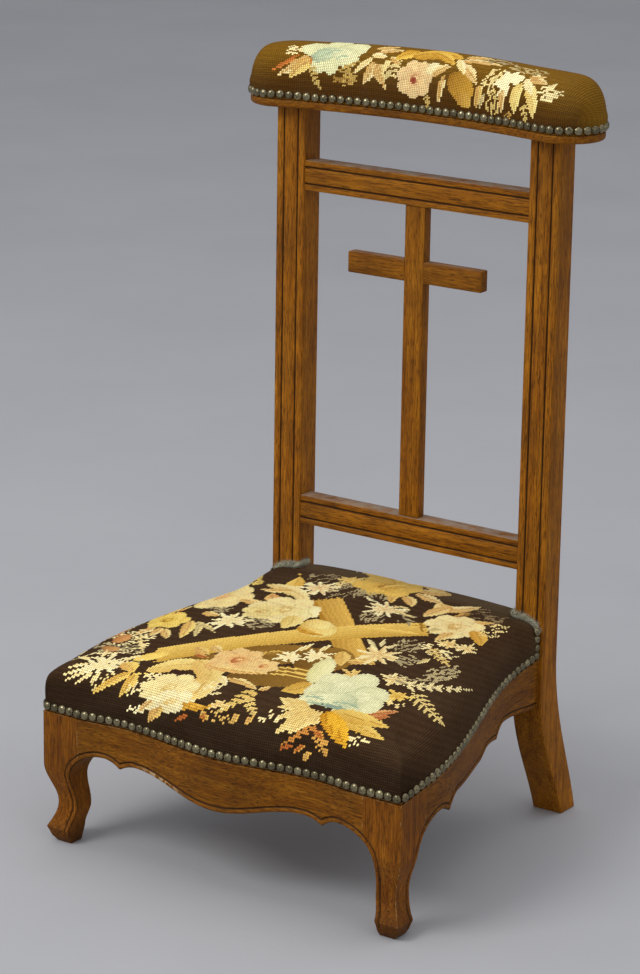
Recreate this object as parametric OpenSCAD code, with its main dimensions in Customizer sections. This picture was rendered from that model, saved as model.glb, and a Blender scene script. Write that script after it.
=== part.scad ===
// Kneeling bench: a low upholstered seat to kneel on, and a padded armrest on two tall posts.
// Millimetres. +Z is up, the front faces -Y, and the origin is on the floor at the centre of the box.

/* [Overall] */
// width of the seat frame across its two front corners
seat_width = 478; // [400:1:580]
// depth from the front corners to the front face of the back posts
seat_depth = 365; // [300:1:450]
// height of the wooden top edge of the seat frame at the front corners
seat_front_height = 156; // [146:1:190]
// height of the wooden top edge of the seat frame at the back posts
seat_back_height = 203; // [195:1:240]
// height of the underside of the armrest board
board_height = 796; // [650:1:960]

/* [Back posts] */
// width over the outer faces of the two posts
post_spread = 375; // [320:1:390]
// width of one post seen from the front
post_width = 38; // [32:1:46]
// depth of one post seen from the side
post_depth = 32; // [28:1:40]
// how far the back leg sweeps backward at the floor
leg_sweep = 56; // [35:1:70]
// width of each of the two long grooves in a post or back rail
groove_width = 2.6; // [1.5:0.1:4]
// depth of those grooves
groove_depth = 1.8; // [1:0.1:3]

/* [Back frame] */
// height of one back rail
back_rail_height = 34.5; // [26:0.5:44]
// thickness of one back rail
back_rail_depth = 22; // [18:1:26]
// gap between the upper back rail and the armrest board
upper_rail_drop = 61.5; // [40:0.5:90]
// gap between the seat frame's top edge at the posts and the lower back rail
lower_rail_rise = 100; // [80:1:130]
// set-back of the back rails from the front face of the posts
rail_setback = 1.5; // [0.5:0.5:4]
// width of the cross's upright
cross_width = 26; // [20:1:34]
// length of the cross's arm
cross_arm_length = 179; // [120:1:200]
// height of the cross's arm
cross_arm_height = 24.5; // [18:0.5:32]
// gap between the upper back rail and the top of the cross's arm
cross_arm_drop = 63; // [40:1:90]
// thickness of the cross, front to back
cross_depth = 14; // [12:1:17]

/* [Seat frame] */
// thickness of a seat rail
seat_rail_thick = 24; // [18:1:28]
// width of the square block at the top of a front leg
leg_block = 48; // [40:1:60]
// how far the middle of the front rail bulges forward
front_bulge = 7; // [0:0.5:14]
// how far the front rail's flanks are hollowed back
front_hollow = 4.5; // [0:0.5:7]
// how far the side rails' back ends are set in from the outer face of the posts
side_set_in = 5; // [2:0.5:8]
// height of the band above the wooden top edge that the cover is nailed to
tack_band = 13; // [10:0.5:16]
// depth of the rebate that the cover's edge lies in
tack_rebate = 3; // [2.6:0.1:4]

/* [Front legs] */
// how far the ankle is drawn in from the leg's corner
ankle_inset = 11.5; // [6:0.5:14]
// how far the toe stands in from the leg's corner
toe_inset = 2; // [0:0.5:6]
// thickness of the leg at its knee
knee_thick = 35; // [30:1:40]

/* [Armrest] */
// length of the armrest over its rounded ends
armrest_length = 454; // [420:1:520]
// depth of the armrest at its ends
armrest_depth = 86; // [76:1:110]
// how far the front edge is hollowed in the middle
armrest_hollow = 25; // [5:1:28]
// how far the back edge swells out in the middle
armrest_swell = 12; // [0:1:20]
// thickness of the armrest board
board_thick = 20; // [16:1:26]
// height of the armrest cushion's crest above the board
armrest_crown = 58; // [45:1:75]

/* [Upholstery] */
// thickness of the needlework cover
cover_thick = 2.4; // [1.5:0.1:2.5]
// height of the seat cushion's crest above the wooden top edge
seat_crown = 58; // [50:1:70]
// fall of the seat cushion from its crest to its corners
seat_fall = 25; // [10:1:30]
// width of one strap of webbing
strap_width = 50; // [40:1:60]
// number of straps each way
strap_count = 4; // [3:1:5]
// thickness of the webbing
strap_thick = 1.5; // [1:0.1:2.5]
// diameter of a nail's domed head
nail_head = 9.6; // [8:0.1:12]
// distance between neighbouring nails
nail_pitch = 10.4; // [9.8:0.1:14]

/* [Hidden] */
$fn = 32;
clear = 0.2;
overshoot = 200;
head_height = 3;
shank_length = 9;
shank_d = 1.6;
steps = 10;

// places across the width
front_half = seat_width / 2;
post_half = post_spread / 2;
post_in = post_half - post_width;
back_half = post_half - side_set_in;

// places along the depth: the origin is midway between the front bulge and the back soles
sole_depth = post_depth - 2;
total_depth = front_bulge + head_height + seat_depth + leg_sweep + sole_depth;
corner_y = front_bulge + head_height - total_depth / 2;
post_y = corner_y + seat_depth;
post_back = post_y + post_depth;
post_mid = post_y + post_depth / 2;

// the sloping plane of the seat frame's top edge
seat_slope = atan((seat_back_height - seat_front_height) / seat_depth);
function seat_z(y) = seat_front_height + (y - corner_y) * tan(seat_slope);

// back frame heights
upper_rail_z = board_height - upper_rail_drop - back_rail_height;
lower_rail_z = seat_back_height + lower_rail_rise;
rail_y = post_y + rail_setback;
rail_mid = rail_y + back_rail_depth / 2;
cross_y = rail_mid - cross_depth / 2 - 2;
cross_arm_z = upper_rail_z - cross_arm_drop - cross_arm_height;
tenon_length = 24;
tenon_thick = 9;

// scalloped lower edge: heights below the wooden top edge, and places in from the corner
knee_z = 80;
arch_in = 81;
arch_drop = 39.5;
cusp_in = 103.5;
cusp_drop = 48.5;
scoop_in = 127;
scoop_drop = 41.5;
lobe_drop = 60.5;

// seat layers, measured square to the seat plane from the wooden top edge
rail_top = tack_band;
web_top = rail_top + 2 * strap_thick;
hessian_thick = 1;
hessian_top = web_top + hessian_thick;
stuffing_base = hessian_top + clear;

// armrest levels
board_top = board_height + board_thick;
lip_height = board_thick * 0.45;
end_radius = armrest_depth / 2;
end_x = armrest_length / 2 - end_radius;
armrest_front = post_mid - end_radius;

function ease(t) = (1 - cos(180 * t)) / 2;
function sweep(t) = (1 - cos(135 * t)) / (1 - cos(135));
function mix(a, b, t) = a + (b - a) * t;
function mirrored(points) = [for (i = [len(points) - 1:-1:0]) [-points[i][0], points[i][1]]];

// the seat frame's plan, outer faces
joint_x = front_half - leg_block;
function front_y(x) =
    let (u = abs(x) / joint_x)
    corner_y + (u < 0.68
        ? mix(-front_bulge, front_hollow, ease(u / 0.68))
        : u < 1 ? mix(front_hollow, 0, ease((u - 0.68) / 0.32)) : 0);
ogee_start = corner_y + leg_block;
ogee_end = post_y - 27;
function side_x(y) =
    y < ogee_start ? front_half
    : y > ogee_end ? back_half
    : mix(front_half, back_half, ease((y - ogee_start) / (ogee_end - ogee_start)));

front_curve = [for (i = [-12:12]) let (x = i / 12 * joint_x) [x, front_y(x)]];
side_curve = [for (i = [0:14]) let (y = mix(ogee_start, ogee_end, i / 14)) [side_x(y), y]];

// outline of the seat drawn in by a set distance, with its back edge at a given depth
function seat_outline(inset, back) = concat(
    [[-front_half + inset, corner_y + inset]],
    [for (p = front_curve) [p[0], p[1] + inset]],
    [[front_half - inset, corner_y + inset]],
    [for (p = side_curve) [p[0] - inset, p[1]]],
    [[back_half - inset, back], [-back_half + inset, back]],
    [for (i = [len(side_curve) - 1:-1:0]) [-side_curve[i][0] + inset, side_curve[i][1]]]
);

// everything above the seat plane raised by h, as one large block
module above_seat(h) {
    translate([0, corner_y, seat_front_height])
        rotate([seat_slope, 0, 0])
            translate([-500, -300, h])
                cube([1000, 1000, 600]);
}

// the ball whose top is the seat cushion's crown; shrink draws it in
module crown_ball(shrink) {
    reach = norm([front_half, seat_depth / 2]);
    radius = reach * reach / (2 * seat_fall);
    translate([0, corner_y, seat_front_height])
        rotate([seat_slope, 0, 0])
            translate([0, seat_depth / 2, seat_crown - radius])
                sphere(r = radius - shrink, $fn = 200);
}

// ---------- wooden frame ----------

post_sweep_front = 160;
post_sweep_back = 200;
post_profile = concat(
    [for (i = [0:steps]) let (t = i / steps)
        [post_y + leg_sweep * sweep(1 - t), post_sweep_front * t]],
    [[post_y, board_height], [post_back, board_height]],
    [for (i = [steps:-1:0]) let (t = i / steps)
        [post_back + (leg_sweep - 2) * sweep(1 - t), post_sweep_back * t]]
);

post_tenon = 11;
side_tenon_height = 30;
side_tenon_z = seat_back_height - 38;

module side_tenon(side, slack) {
    translate([side * (back_half - seat_rail_thick / 2) - tenon_thick / 2 - slack,
               post_y - 1, side_tenon_z - slack])
        cube([tenon_thick + 2 * slack, post_tenon + 1 + slack, side_tenon_height + 2 * slack]);
}

// one stub tenon of a back rail, at its right-hand end
module rail_tenon(z, height, y, slack) {
    translate([post_in - 1, y - tenon_thick / 2 - slack, z + 5 - slack])
        cube([tenon_length + 1 + slack, tenon_thick + 2 * slack, height - 10 + 2 * slack]);
}

rear_rail_height = 56;
rear_rail_z = seat_back_height - rear_rail_height + tack_band;
rear_rail_y = post_y + 6;
rear_rail_mid = rear_rail_y + back_rail_depth / 2;

module right_post() {
    difference() {
        union() {
            translate([post_in, 0, 0])
                rotate([90, 0, 90])
                    linear_extrude(post_width)
                        polygon(post_profile);
            translate([post_in + 6, post_mid - tenon_thick / 2, board_height - 1])
                cube([post_width - 12, tenon_thick, board_thick - 5]);
        }
        for (at = [0.25, 0.75])
            translate([post_in + at * post_width - groove_width / 2, post_y - 1, seat_back_height - 20])
                cube([groove_width, groove_depth + 1, board_height]);
        rail_tenon(upper_rail_z, back_rail_height, rail_mid, clear);
        rail_tenon(lower_rail_z, back_rail_height, rail_mid, clear);
        rail_tenon(rear_rail_z, rear_rail_height, rear_rail_mid, clear);
        side_tenon(1, clear);
    }
}

module right_back_post() {
    color("#8a5a2c") right_post();
}

module left_back_post() {
    color("#8a5a2c") mirror([1, 0, 0]) right_post();
}

// one horizontal rail between the posts, with its stub tenons and two long grooves
module back_rail(z, height, y, grooved) {
    span = 2 * post_in - 0.1;
    difference() {
        union() {
            translate([-span / 2, y, z])
                cube([span, back_rail_depth, height]);
            for (side = [0, 1])
                mirror([side, 0, 0])
                    rail_tenon(z, height, y + back_rail_depth / 2, 0);
        }
        if (grooved)
            for (at = [0.22, 0.78])
                translate([-span / 2, y - 1, z + at * height - groove_width / 2])
                    cube([span, groove_depth + 1, groove_width]);
    }
}

cross_tenon = 12;
cross_tenon_width = cross_width - 10;

module cross_mortise(z) {
    translate([-cross_tenon_width / 2 - clear, cross_y + 3 - clear, z])
        cube([cross_tenon_width + 2 * clear, cross_depth - 6 + 2 * clear, cross_tenon + clear]);
}

module upper_back_rail() {
    color("#8f5e2f") difference() {
        back_rail(upper_rail_z, back_rail_height, rail_y, true);
        cross_mortise(upper_rail_z - clear);
    }
}

module lower_back_rail() {
    color("#8f5e2f") difference() {
        back_rail(lower_rail_z, back_rail_height, rail_y, true);
        cross_mortise(lower_rail_z + back_rail_height - cross_tenon);
    }
}

// its back face has the same rebate as the other seat rails, for the cover's edge
module rear_seat_rail() {
    color("#7a4c22") difference() {
        back_rail(rear_rail_z, rear_rail_height, rear_rail_y, false);
        intersection() {
            translate([-post_in, rear_rail_y + back_rail_depth - tack_rebate, rear_rail_z])
                cube([2 * post_in, overshoot, overshoot]);
            above_seat(0);
        }
    }
}

// upright of the cross, halved at the back half of its depth where the arm passes
module cross_upright() {
    foot = lower_rail_z + back_rail_height;
    color("#935f30") difference() {
        union() {
            translate([-cross_width / 2, cross_y, foot])
                cube([cross_width, cross_depth, upper_rail_z - foot]);
            translate([-cross_tenon_width / 2, cross_y + 3, foot - cross_tenon + clear])
                cube([cross_tenon_width, cross_depth - 6, upper_rail_z - foot + 2 * cross_tenon - 2 * clear]);
        }
        translate([-cross_width, cross_y + cross_depth / 2, cross_arm_z])
            cube([2 * cross_width, cross_depth, cross_arm_height]);
    }
}

module cross_arm() {
    color("#935f30") difference() {
        translate([-cross_arm_length / 2, cross_y, cross_arm_z])
            cube([cross_arm_length, cross_depth, cross_arm_height]);
        translate([-cross_width / 2, cross_y - 1, cross_arm_z - 1])
            cube([cross_width, cross_depth / 2 + 1, cross_arm_height + 2]);
    }
}

// points from a to b without a: bend 0 is level at both ends, 1 only at b, -1 only at a
function curve(a, b, count, bend) = [for (i = [1:count]) let (t = i / count)
    [mix(a[0], b[0], t), mix(a[1], b[1], bend == 0 ? ease(t) : bend > 0 ? 1 - (1 - t) * (1 - t) : t * t)]];

// quarter ellipse from the leg's knee up to the top of the arch
function arch(knee, top) = [for (i = [0:8]) let (a = 90 * i / 8)
    [top[0] + (knee[0] - top[0]) * cos(a), knee[1] + (top[1] - knee[1]) * sin(a)]];

// lower edge of the front frame, right half, from the knee to the middle
front_edge = concat(
    arch([front_half - knee_thick, knee_z], [front_half - arch_in, seat_front_height - arch_drop]),
    curve([front_half - arch_in, seat_front_height - arch_drop],
          [front_half - cusp_in, seat_front_height - cusp_drop], 3, -1),
    curve([front_half - cusp_in, seat_front_height - cusp_drop],
          [front_half - scoop_in, seat_front_height - scoop_drop], 3, 1),
    curve([front_half - scoop_in, seat_front_height - scoop_drop],
          [0, seat_front_height - lobe_drop], 8, 0)
);

// lower edge of a side frame, from the knee to the back post
function side_point(into, drop) = [corner_y + into, seat_z(corner_y + into) - drop];
side_edge = concat(
    arch([corner_y + knee_thick, knee_z], side_point(arch_in, arch_drop + 1.5)),
    curve(side_point(arch_in, arch_drop + 1.5), side_point(cusp_in, cusp_drop + 3.5), 3, -1),
    curve(side_point(cusp_in, cusp_drop + 3.5), side_point(scoop_in, scoop_drop - 1), 3, 1),
    curve(side_point(scoop_in, scoop_drop - 1), side_point(seat_depth * 0.56, 48), 4, 0),
    curve(side_point(seat_depth * 0.56, 48), side_point(seat_depth * 0.65, 45), 3, 0),
    curve(side_point(seat_depth * 0.65, 45), side_point(seat_depth * 0.73, 52), 3, -1),
    curve(side_point(seat_depth * 0.73, 52), side_point(seat_depth * 0.79, 41), 3, 1),
    curve(side_point(seat_depth * 0.79, 41), side_point(seat_depth, 57), 5, 0)
);

// leg seen square to one face: inset from the corner, height above the floor
function leg_profile(arch_height) = concat(
    [[0, seat_back_height]],
    [for (i = [0:8]) let (t = i / 8) [ankle_inset * ease(t), mix(95, 47, t)]],
    [for (i = [1:4]) let (t = i / 4) [mix(ankle_inset, toe_inset, 1 - cos(90 * t)), mix(47, 18, t)]],
    [[toe_inset + 4, 7], [11, 0], [30, 0], [knee_thick - 2, 18]],
    [for (i = [1:4]) let (t = i / 4) [mix(knee_thick - 2, knee_thick + 3, ease(t)), mix(18, 45, t)]],
    [for (i = [1:4]) let (t = i / 4) [mix(knee_thick + 3, knee_thick, ease(t)), mix(45, knee_z, t)]],
    [for (p = arch([knee_thick, knee_z], [arch_in, arch_height])) if (p[0] > knee_thick) p],
    [[arch_in, seat_back_height]]
);

dowel_d = 8;
dowel_length = 36;
dowel_heights = [18, 34];

// the two dowels of one joint, along the given direction, half in each piece
module dowel_pair(x, y, turn, slack) {
    for (down = dowel_heights)
        translate([x, y, seat_z(y) - down])
            rotate([0, 90, turn])
                translate([0, 0, -dowel_length / 2 - slack])
                    cylinder(d = dowel_d + 2 * slack, h = dowel_length + 2 * slack);
}

front_in_y = corner_y + front_hollow + seat_rail_thick;
front_dowel_y = corner_y + front_hollow + seat_rail_thick / 2 + 1;
side_dowel_x = front_half - seat_rail_thick / 2 - 1;

module right_dowels(slack) {
    dowel_pair(joint_x, front_dowel_y, 0, slack);
    dowel_pair(side_dowel_x, ogee_start, 90, slack);
}

module front_leg() {
    side_arch = seat_z(corner_y + arch_in) - arch_drop - 1.5;
    difference() {
        union() {
            difference() {
                intersection() {
                    translate([front_half, corner_y + leg_block, 0])
                        rotate([90, 0, 0])
                            linear_extrude(leg_block)
                                polygon([for (p = leg_profile(seat_front_height - arch_drop)) [-p[0], p[1]]]);
                    translate([front_half - leg_block, corner_y, 0])
                        rotate([90, 0, 90])
                            linear_extrude(leg_block)
                                polygon(leg_profile(side_arch));
                }
                above_seat(0);
            }
            difference() {
                translate([front_half - leg_block, corner_y + tack_rebate, seat_front_height - 20])
                    cube([leg_block - tack_rebate, leg_block - tack_rebate, 80]);
                above_seat(tack_band);
            }
        }
        right_dowels(clear);
    }
}

module front_right_leg() {
    color("#8a5a2c") front_leg();
}

module front_left_leg() {
    color("#8a5a2c") mirror([1, 0, 0]) front_leg();
}

// plan of the front rail with its show face drawn in by inset
module front_rail_plan(inset) {
    linear_extrude(seat_back_height + overshoot)
        polygon(concat([for (p = front_curve) [p[0], p[1] + inset]],
                       [[joint_x, front_in_y], [-joint_x, front_in_y]]));
}

module front_seat_rail() {
    color("#8f5e2f") difference() {
        union() {
            difference() {
                front_rail_plan(0);
                above_seat(0);
            }
            difference() {
                front_rail_plan(tack_rebate);
                above_seat(tack_band);
            }
        }
        translate([0, corner_y + overshoot, 0])
            rotate([90, 0, 0])
                linear_extrude(2 * overshoot)
                    polygon(concat([[front_half, -1]], front_edge, mirrored(front_edge), [[-front_half, -1]]));
        right_dowels(clear);
        mirror([1, 0, 0]) right_dowels(clear);
    }
}

// plan of the right side rail with its show face drawn in by inset
module side_rail_plan(inset) {
    linear_extrude(seat_back_height + overshoot)
        polygon(concat([for (p = side_curve) [p[0] - inset, p[1]]],
                       [[back_half - inset, post_y], [back_half - seat_rail_thick, post_y]],
                       [for (i = [len(side_curve) - 1:-1:0])
                           [side_curve[i][0] - seat_rail_thick, side_curve[i][1]]]));
}

module side_rail() {
    difference() {
        union() {
            difference() {
                side_rail_plan(0);
                above_seat(0);
            }
            difference() {
                side_rail_plan(tack_rebate);
                above_seat(tack_band);
            }
            side_tenon(1, 0);
        }
        rotate([90, 0, 90])
            linear_extrude(seat_width)
                polygon(concat([[corner_y, -1]], side_edge, [[post_y + 1, seat_back_height - 57], [post_y + 1, -1]]));
        right_dowels(clear);
    }
}

module right_seat_rail() {
    color("#8f5e2f") side_rail();
}

module left_seat_rail() {
    color("#8f5e2f") mirror([1, 0, 0]) side_rail();
}

module rail_dowels() {
    color("#c79f63") for (side = [0, 1])
        mirror([side, 0, 0]) right_dowels(0);
}

block_thick = 24;
block_height = 30;
front_block_z = seat_front_height - 34;
rear_block_z = seat_back_height - 50;
front_block_near = 2 * leg_block + 1;
rear_block_near = back_half - seat_rail_thick - post_in + rear_rail_y - post_y + 1;

// brace across a corner: strip at 45 degrees between the inner faces of two rails
module corner_brace(z, near, corner_x, from_y, ahead) {
    far = near + block_thick * sqrt(2);
    intersection() {
        translate([0, 0, z])
            linear_extrude(block_height)
                polygon([[corner_x - near, from_y], [corner_x, from_y + ahead * near],
                         [corner_x, from_y + ahead * far], [corner_x - far, from_y]]);
        translate([0, 0, z - 1])
            linear_extrude(block_height + 2)
                polygon(concat([[0, front_in_y + clear], [side_curve[0][0] - seat_rail_thick - clear, front_in_y + clear]],
                    [for (p = side_curve) [p[0] - seat_rail_thick - clear, p[1]]],
                    [[back_half - seat_rail_thick - clear, rear_rail_y - clear], [0, rear_rail_y - clear]]));
    }
}

module front_block() {
    corner_brace(front_block_z, front_block_near, front_half, corner_y, 1);
}

module rear_block() {
    corner_brace(rear_block_z, rear_block_near, back_half - seat_rail_thick, rear_rail_y, -1);
}

module front_right_block() {
    color("#b98d55") front_block();
}

module front_left_block() {
    color("#b98d55") mirror([1, 0, 0]) front_block();
}

module rear_right_block() {
    color("#b98d55") rear_block();
}

module rear_left_block() {
    color("#b98d55") mirror([1, 0, 0]) rear_block();
}

screw_d = 3.5;
screw_length = 42;
screw_head_d = 7;

// round-headed screw at the middle of a brace's inner face, driven outward at 45 degrees
module brace_screw(near, corner_x, from_y, ahead, z) {
    reach = (near + block_thick * sqrt(2)) / 2;
    translate([corner_x - reach, from_y + ahead * reach, z])
        rotate([0, 90, -45 * ahead]) {
            translate([0, 0, -2])
                cylinder(d1 = screw_head_d - 2, d2 = screw_head_d, h = 2);
            cylinder(d = screw_d, h = screw_length);
        }
}

module block_screws() {
    color("#8d8f92") for (side = [0, 1], up = [0.3, 0.7])
        mirror([side, 0, 0]) {
            brace_screw(front_block_near, front_half, corner_y, 1, front_block_z + up * block_height);
            brace_screw(rear_block_near, back_half - seat_rail_thick, rear_rail_y, -1,
                        rear_block_z + up * block_height);
        }
}

// ---------- seat upholstery ----------

slope_depth = seat_depth / cos(seat_slope);
web_back = (rear_rail_mid - corner_y) / cos(seat_slope);
strap_gap = (2 * post_in - 6 - strap_count * strap_width) / (strap_count - 1);
cross_pitch = (slope_depth - 95) / strap_count;

// children are placed with x across, y up the slope and z square to the seat plane
module on_seat() {
    translate([0, corner_y, seat_front_height])
        rotate([seat_slope, 0, 0])
            children();
}

function strap_x(i) = -post_in + 3 + strap_width / 2 + i * (strap_width + strap_gap);
function cross_at(i) = 62 + (i + 0.5) * cross_pitch;
function cross_reach(i) = side_x(corner_y + (cross_at(i) + strap_width / 2) * cos(seat_slope)) - tack_rebate - 4;

module webbing_lengthwise() {
    front_end = front_hollow + tack_rebate + 5;
    color("#b09a73") on_seat()
        for (i = [0:strap_count - 1])
            translate([strap_x(i) - strap_width / 2, front_end, rail_top])
                cube([strap_width, web_back - front_end, strap_thick]);
}

// each crosswise strap has its ends folded under where they are tacked to the side rails
module webbing_crosswise() {
    fold = seat_rail_thick - 6;
    color("#b09a73") on_seat()
        for (i = [0:strap_count - 1])
            translate([0, cross_at(i) - strap_width / 2, 0]) {
                translate([-cross_reach(i), 0, rail_top + strap_thick])
                    cube([2 * cross_reach(i), strap_width, strap_thick]);
                for (side = [0, 1])
                    mirror([side, 0, 0])
                        translate([cross_reach(i) - fold, 0, rail_top])
                            cube([fold, strap_width, strap_thick]);
            }
}

tack_head_d = 6;
tack_length = 9;

module tack(x, y, z) {
    translate([x, y, z]) {
        cylinder(d = tack_head_d, h = 0.6);
        translate([0, 0, -tack_length])
            cylinder(d = shank_d, h = tack_length);
    }
}

module webbing_tacks() {
    color("#4a4a4c") on_seat()
        for (i = [0:strap_count - 1], across = [-0.36, 0, 0.36]) {
            tack(strap_x(i) + across * strap_width, front_hollow + tack_rebate + 13, rail_top + strap_thick);
            tack(strap_x(i) + across * strap_width, web_back - 5, rail_top + strap_thick);
            for (side = [-1, 1])
                tack(side * (cross_reach(i) - 8), cross_at(i) + across * strap_width, web_top);
        }
}

rear_rail_back = rear_rail_y + back_rail_depth;

// upright prism of the seat's outline, drawn in by inset and notched round the posts by gap
module seat_prism(inset, gap) {
    difference() {
        translate([0, 0, seat_front_height - 5])
            linear_extrude(overshoot)
                polygon(seat_outline(inset, rear_rail_back - inset));
        for (side = [-1, 1])
            translate([side * (post_in + post_width) - (side > 0 ? post_width + gap : 0),
                       post_y - gap, seat_front_height - 10])
                cube([post_width + gap, overshoot, 2 * overshoot]);
    }
}

module seat_hessian() {
    color("#a98f63") difference() {
        intersection() {
            seat_prism(tack_rebate + 6, 3);
            above_seat(web_top);
        }
        above_seat(hessian_top);
    }
}

// horsehair pad
module seat_stuffing() {
    color("#6b5440") difference() {
        intersection() {
            seat_prism(tack_rebate + clear, cover_thick + 2 * clear);
            crown_ball(cover_thick + clear);
            above_seat(stuffing_base);
        }
        gimp_room();
    }
}

cover_edge = 0.6;
cover_outset = tack_rebate - cover_thick - clear;

// needlework cover: a shell that ends in the rebate of the rails, just above the show wood
module seat_cover() {
    color("#4a2f22") difference() {
        intersection() {
            seat_prism(cover_outset, clear);
            crown_ball(0);
            above_seat(cover_edge);
        }
        intersection() {
            seat_prism(tack_rebate, cover_thick + clear);
            crown_ball(cover_thick);
        }
        difference() {
            seat_prism(tack_rebate, -1);
            above_seat(web_top);
        }
        gimp_room();
    }
}

// dusty braid that hides the cover's edge across the front of each post and up its inner side
gimp_width = 8;
gimp_thick = 3;
gimp_level = seat_crown - 24;

module post_gimp(slack = 0) {
    reach = post_width - 4;
    translate([post_in + 4 - slack, post_y - gimp_thick - 0.3 - slack, seat_back_height + gimp_level - slack])
        cube([reach + 2 * slack, gimp_thick + 2 * slack, gimp_width + 2 * slack]);
    translate([post_in - gimp_thick - 0.3 - slack, post_y - gimp_thick - slack,
               seat_back_height + gimp_level - slack])
        cube([gimp_thick + 2 * slack, back_rail_depth + 2 * slack, gimp_width + 2 * slack]);
}

// room pressed into the padding by the braid on both sides
module gimp_room() {
    for (side = [0, 1])
        mirror([side, 0, 0])
            post_gimp(clear);
}

module right_post_gimp() {
    color("#a8a294") post_gimp();
}

module left_post_gimp() {
    color("#a8a294") mirror([1, 0, 0]) post_gimp();
}

// ---------- domed nails ----------

// nail whose head sits on the surface at the given place; turn 0 faces -Y, 90 faces +X
module nail(x, y, z, turn) {
    ball = (nail_head * nail_head / 4 + head_height * head_height) / (2 * head_height);
    translate([x, y, z])
        rotate([90, 0, turn]) {
            intersection() {
                translate([0, 0, head_height - ball])
                    sphere(r = ball, $fn = 24);
                cylinder(d = nail_head + 1, h = head_height, $fn = 24);
            }
            translate([0, 0, -shank_length])
                cylinder(d = shank_d, h = shank_length, $fn = 12);
        }
}

nail_rise = tack_band / 2 + 0.2;
front_nails = floor((seat_width - 10) / nail_pitch);
side_run = post_y - corner_y - 12;
side_nails = floor(side_run * 1.03 / nail_pitch);
climb_nails = 3;

function front_turn(x) = abs(x) > joint_x - 1 ? 0 : atan((front_y(x + 1) - front_y(x - 1)) / 2);
function side_turn(y) = 90 - atan((side_x(y - 1) - side_x(y + 1)) / 2);

module front_seat_nails() {
    color("#8a7a4f") for (i = [0:front_nails]) {
        x = (i - front_nails / 2) * (seat_width - 12) / front_nails;
        nail(x, front_y(x) + cover_outset, seat_z(front_y(x)) + nail_rise, front_turn(x));
    }
}

// one side: along the rail, then up the cushion's corner beside the post
module side_nail_run() {
    for (i = [0:side_nails]) {
        y = corner_y + 7 + i * side_run / side_nails;
        nail(side_x(y) - cover_outset, y, seat_z(y) + nail_rise, side_turn(y));
    }
    for (i = [1:climb_nails]) {
        y = post_y - 5;
        nail(back_half - cover_outset, y, seat_z(y) + nail_rise + i * nail_pitch * 0.92, 90);
    }
}

module right_seat_nails() {
    color("#8a7a4f") side_nail_run();
}

module left_seat_nails() {
    color("#8a7a4f") mirror([1, 0, 0]) side_nail_run();
}

// ---------- armrest ----------

function arm_front(x) = armrest_front + armrest_hollow * (1 - pow(x / end_x, 2));
function arm_back(x) = post_mid + end_radius + armrest_swell * (1 - pow(x / end_x, 2));

// kidney outline drawn in by inset: hollow front, rounded ends, slightly swelling back
function arm_outline(inset) = concat(
    [for (i = [-9:9]) let (x = i / 10 * end_x) [x, arm_front(x) + inset]],
    [for (a = [-78:12:78]) [end_x + (end_radius - inset) * cos(a), post_mid + (end_radius - inset) * sin(a)]],
    [for (i = [9:-1:-9]) let (x = i / 10 * end_x) [x, arm_back(x) - inset]],
    [for (a = [102:12:258]) [-end_x + (end_radius - inset) * cos(a), post_mid + (end_radius - inset) * sin(a)]]
);

module arm_prism(inset, base, height) {
    translate([0, 0, base])
        linear_extrude(height)
            polygon(arm_outline(inset));
}

module armrest_board() {
    color("#8a5a2c") difference() {
        union() {
            arm_prism(0, board_height, lip_height);
            arm_prism(tack_rebate, board_height, board_thick);
        }
        for (side = [0, 1])
            mirror([side, 0, 0])
                translate([post_in + 6 - clear, post_mid - tenon_thick / 2 - clear, board_height - 1])
                    cube([post_width - 12 + 2 * clear, tenon_thick + 2 * clear, board_thick - 5 + clear]);
    }
}

// rounded cross section and rounded end profile that the padding is cut to, drawn in by inset
arm_wall = 26;

module arm_crown(inset) {
    high = board_top + armrest_crown - inset;
    low = board_top + arm_wall - inset;
    near = armrest_front + inset;
    far = post_mid + end_radius + armrest_swell - inset;
    half = armrest_length / 2 - inset;
    mid = (near + far) / 2;
    intersection() {
        translate([-armrest_length, 0, 0])
            rotate([90, 0, 90])
                linear_extrude(2 * armrest_length)
                    polygon(concat([[far, board_height - 1], [near, board_height - 1]],
                        [for (i = [0:16]) let (a = 180 - 180 * i / 16)
                            [mid + (far - mid) * cos(a), low + (high - low) * sin(a)]]));
        translate([0, post_mid + overshoot, 0])
            rotate([90, 0, 0])
                linear_extrude(2 * overshoot)
                    polygon(concat([[half, board_height - 1]],
                        [for (i = [0:6]) let (a = 90 * i / 6)
                            [half - 52 + 52 * cos(a), low - 4 + (high - low) * sin(a)]],
                        [[0, high]],
                        [for (i = [6:-1:0]) let (a = 90 * i / 6)
                            [-half + 52 - 52 * cos(a), low - 4 + (high - low) * sin(a)]],
                        [[-half, board_height - 1]]));
    }
}

module armrest_stuffing() {
    color("#6b5440") intersection() {
        arm_prism(tack_rebate + clear, board_top + clear, overshoot);
        arm_crown(cover_thick + clear);
    }
}

module armrest_cover() {
    color("#6b4a20") difference() {
        intersection() {
            arm_prism(cover_outset, board_height + lip_height + cover_edge, overshoot);
            arm_crown(0);
        }
        intersection() {
            arm_prism(tack_rebate, board_height, overshoot);
            arm_crown(cover_thick);
        }
    }
}

arm_nail_z = board_height + lip_height + (board_thick - lip_height) / 2 + 0.5;
arm_run = 2 * end_x * 0.97;
arm_nails = floor(arm_run / nail_pitch);
end_nails = floor(PI * end_radius * 0.94 / nail_pitch);

function run_turn(x, drop) = atan(-2 * drop * x / (end_x * end_x));

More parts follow.
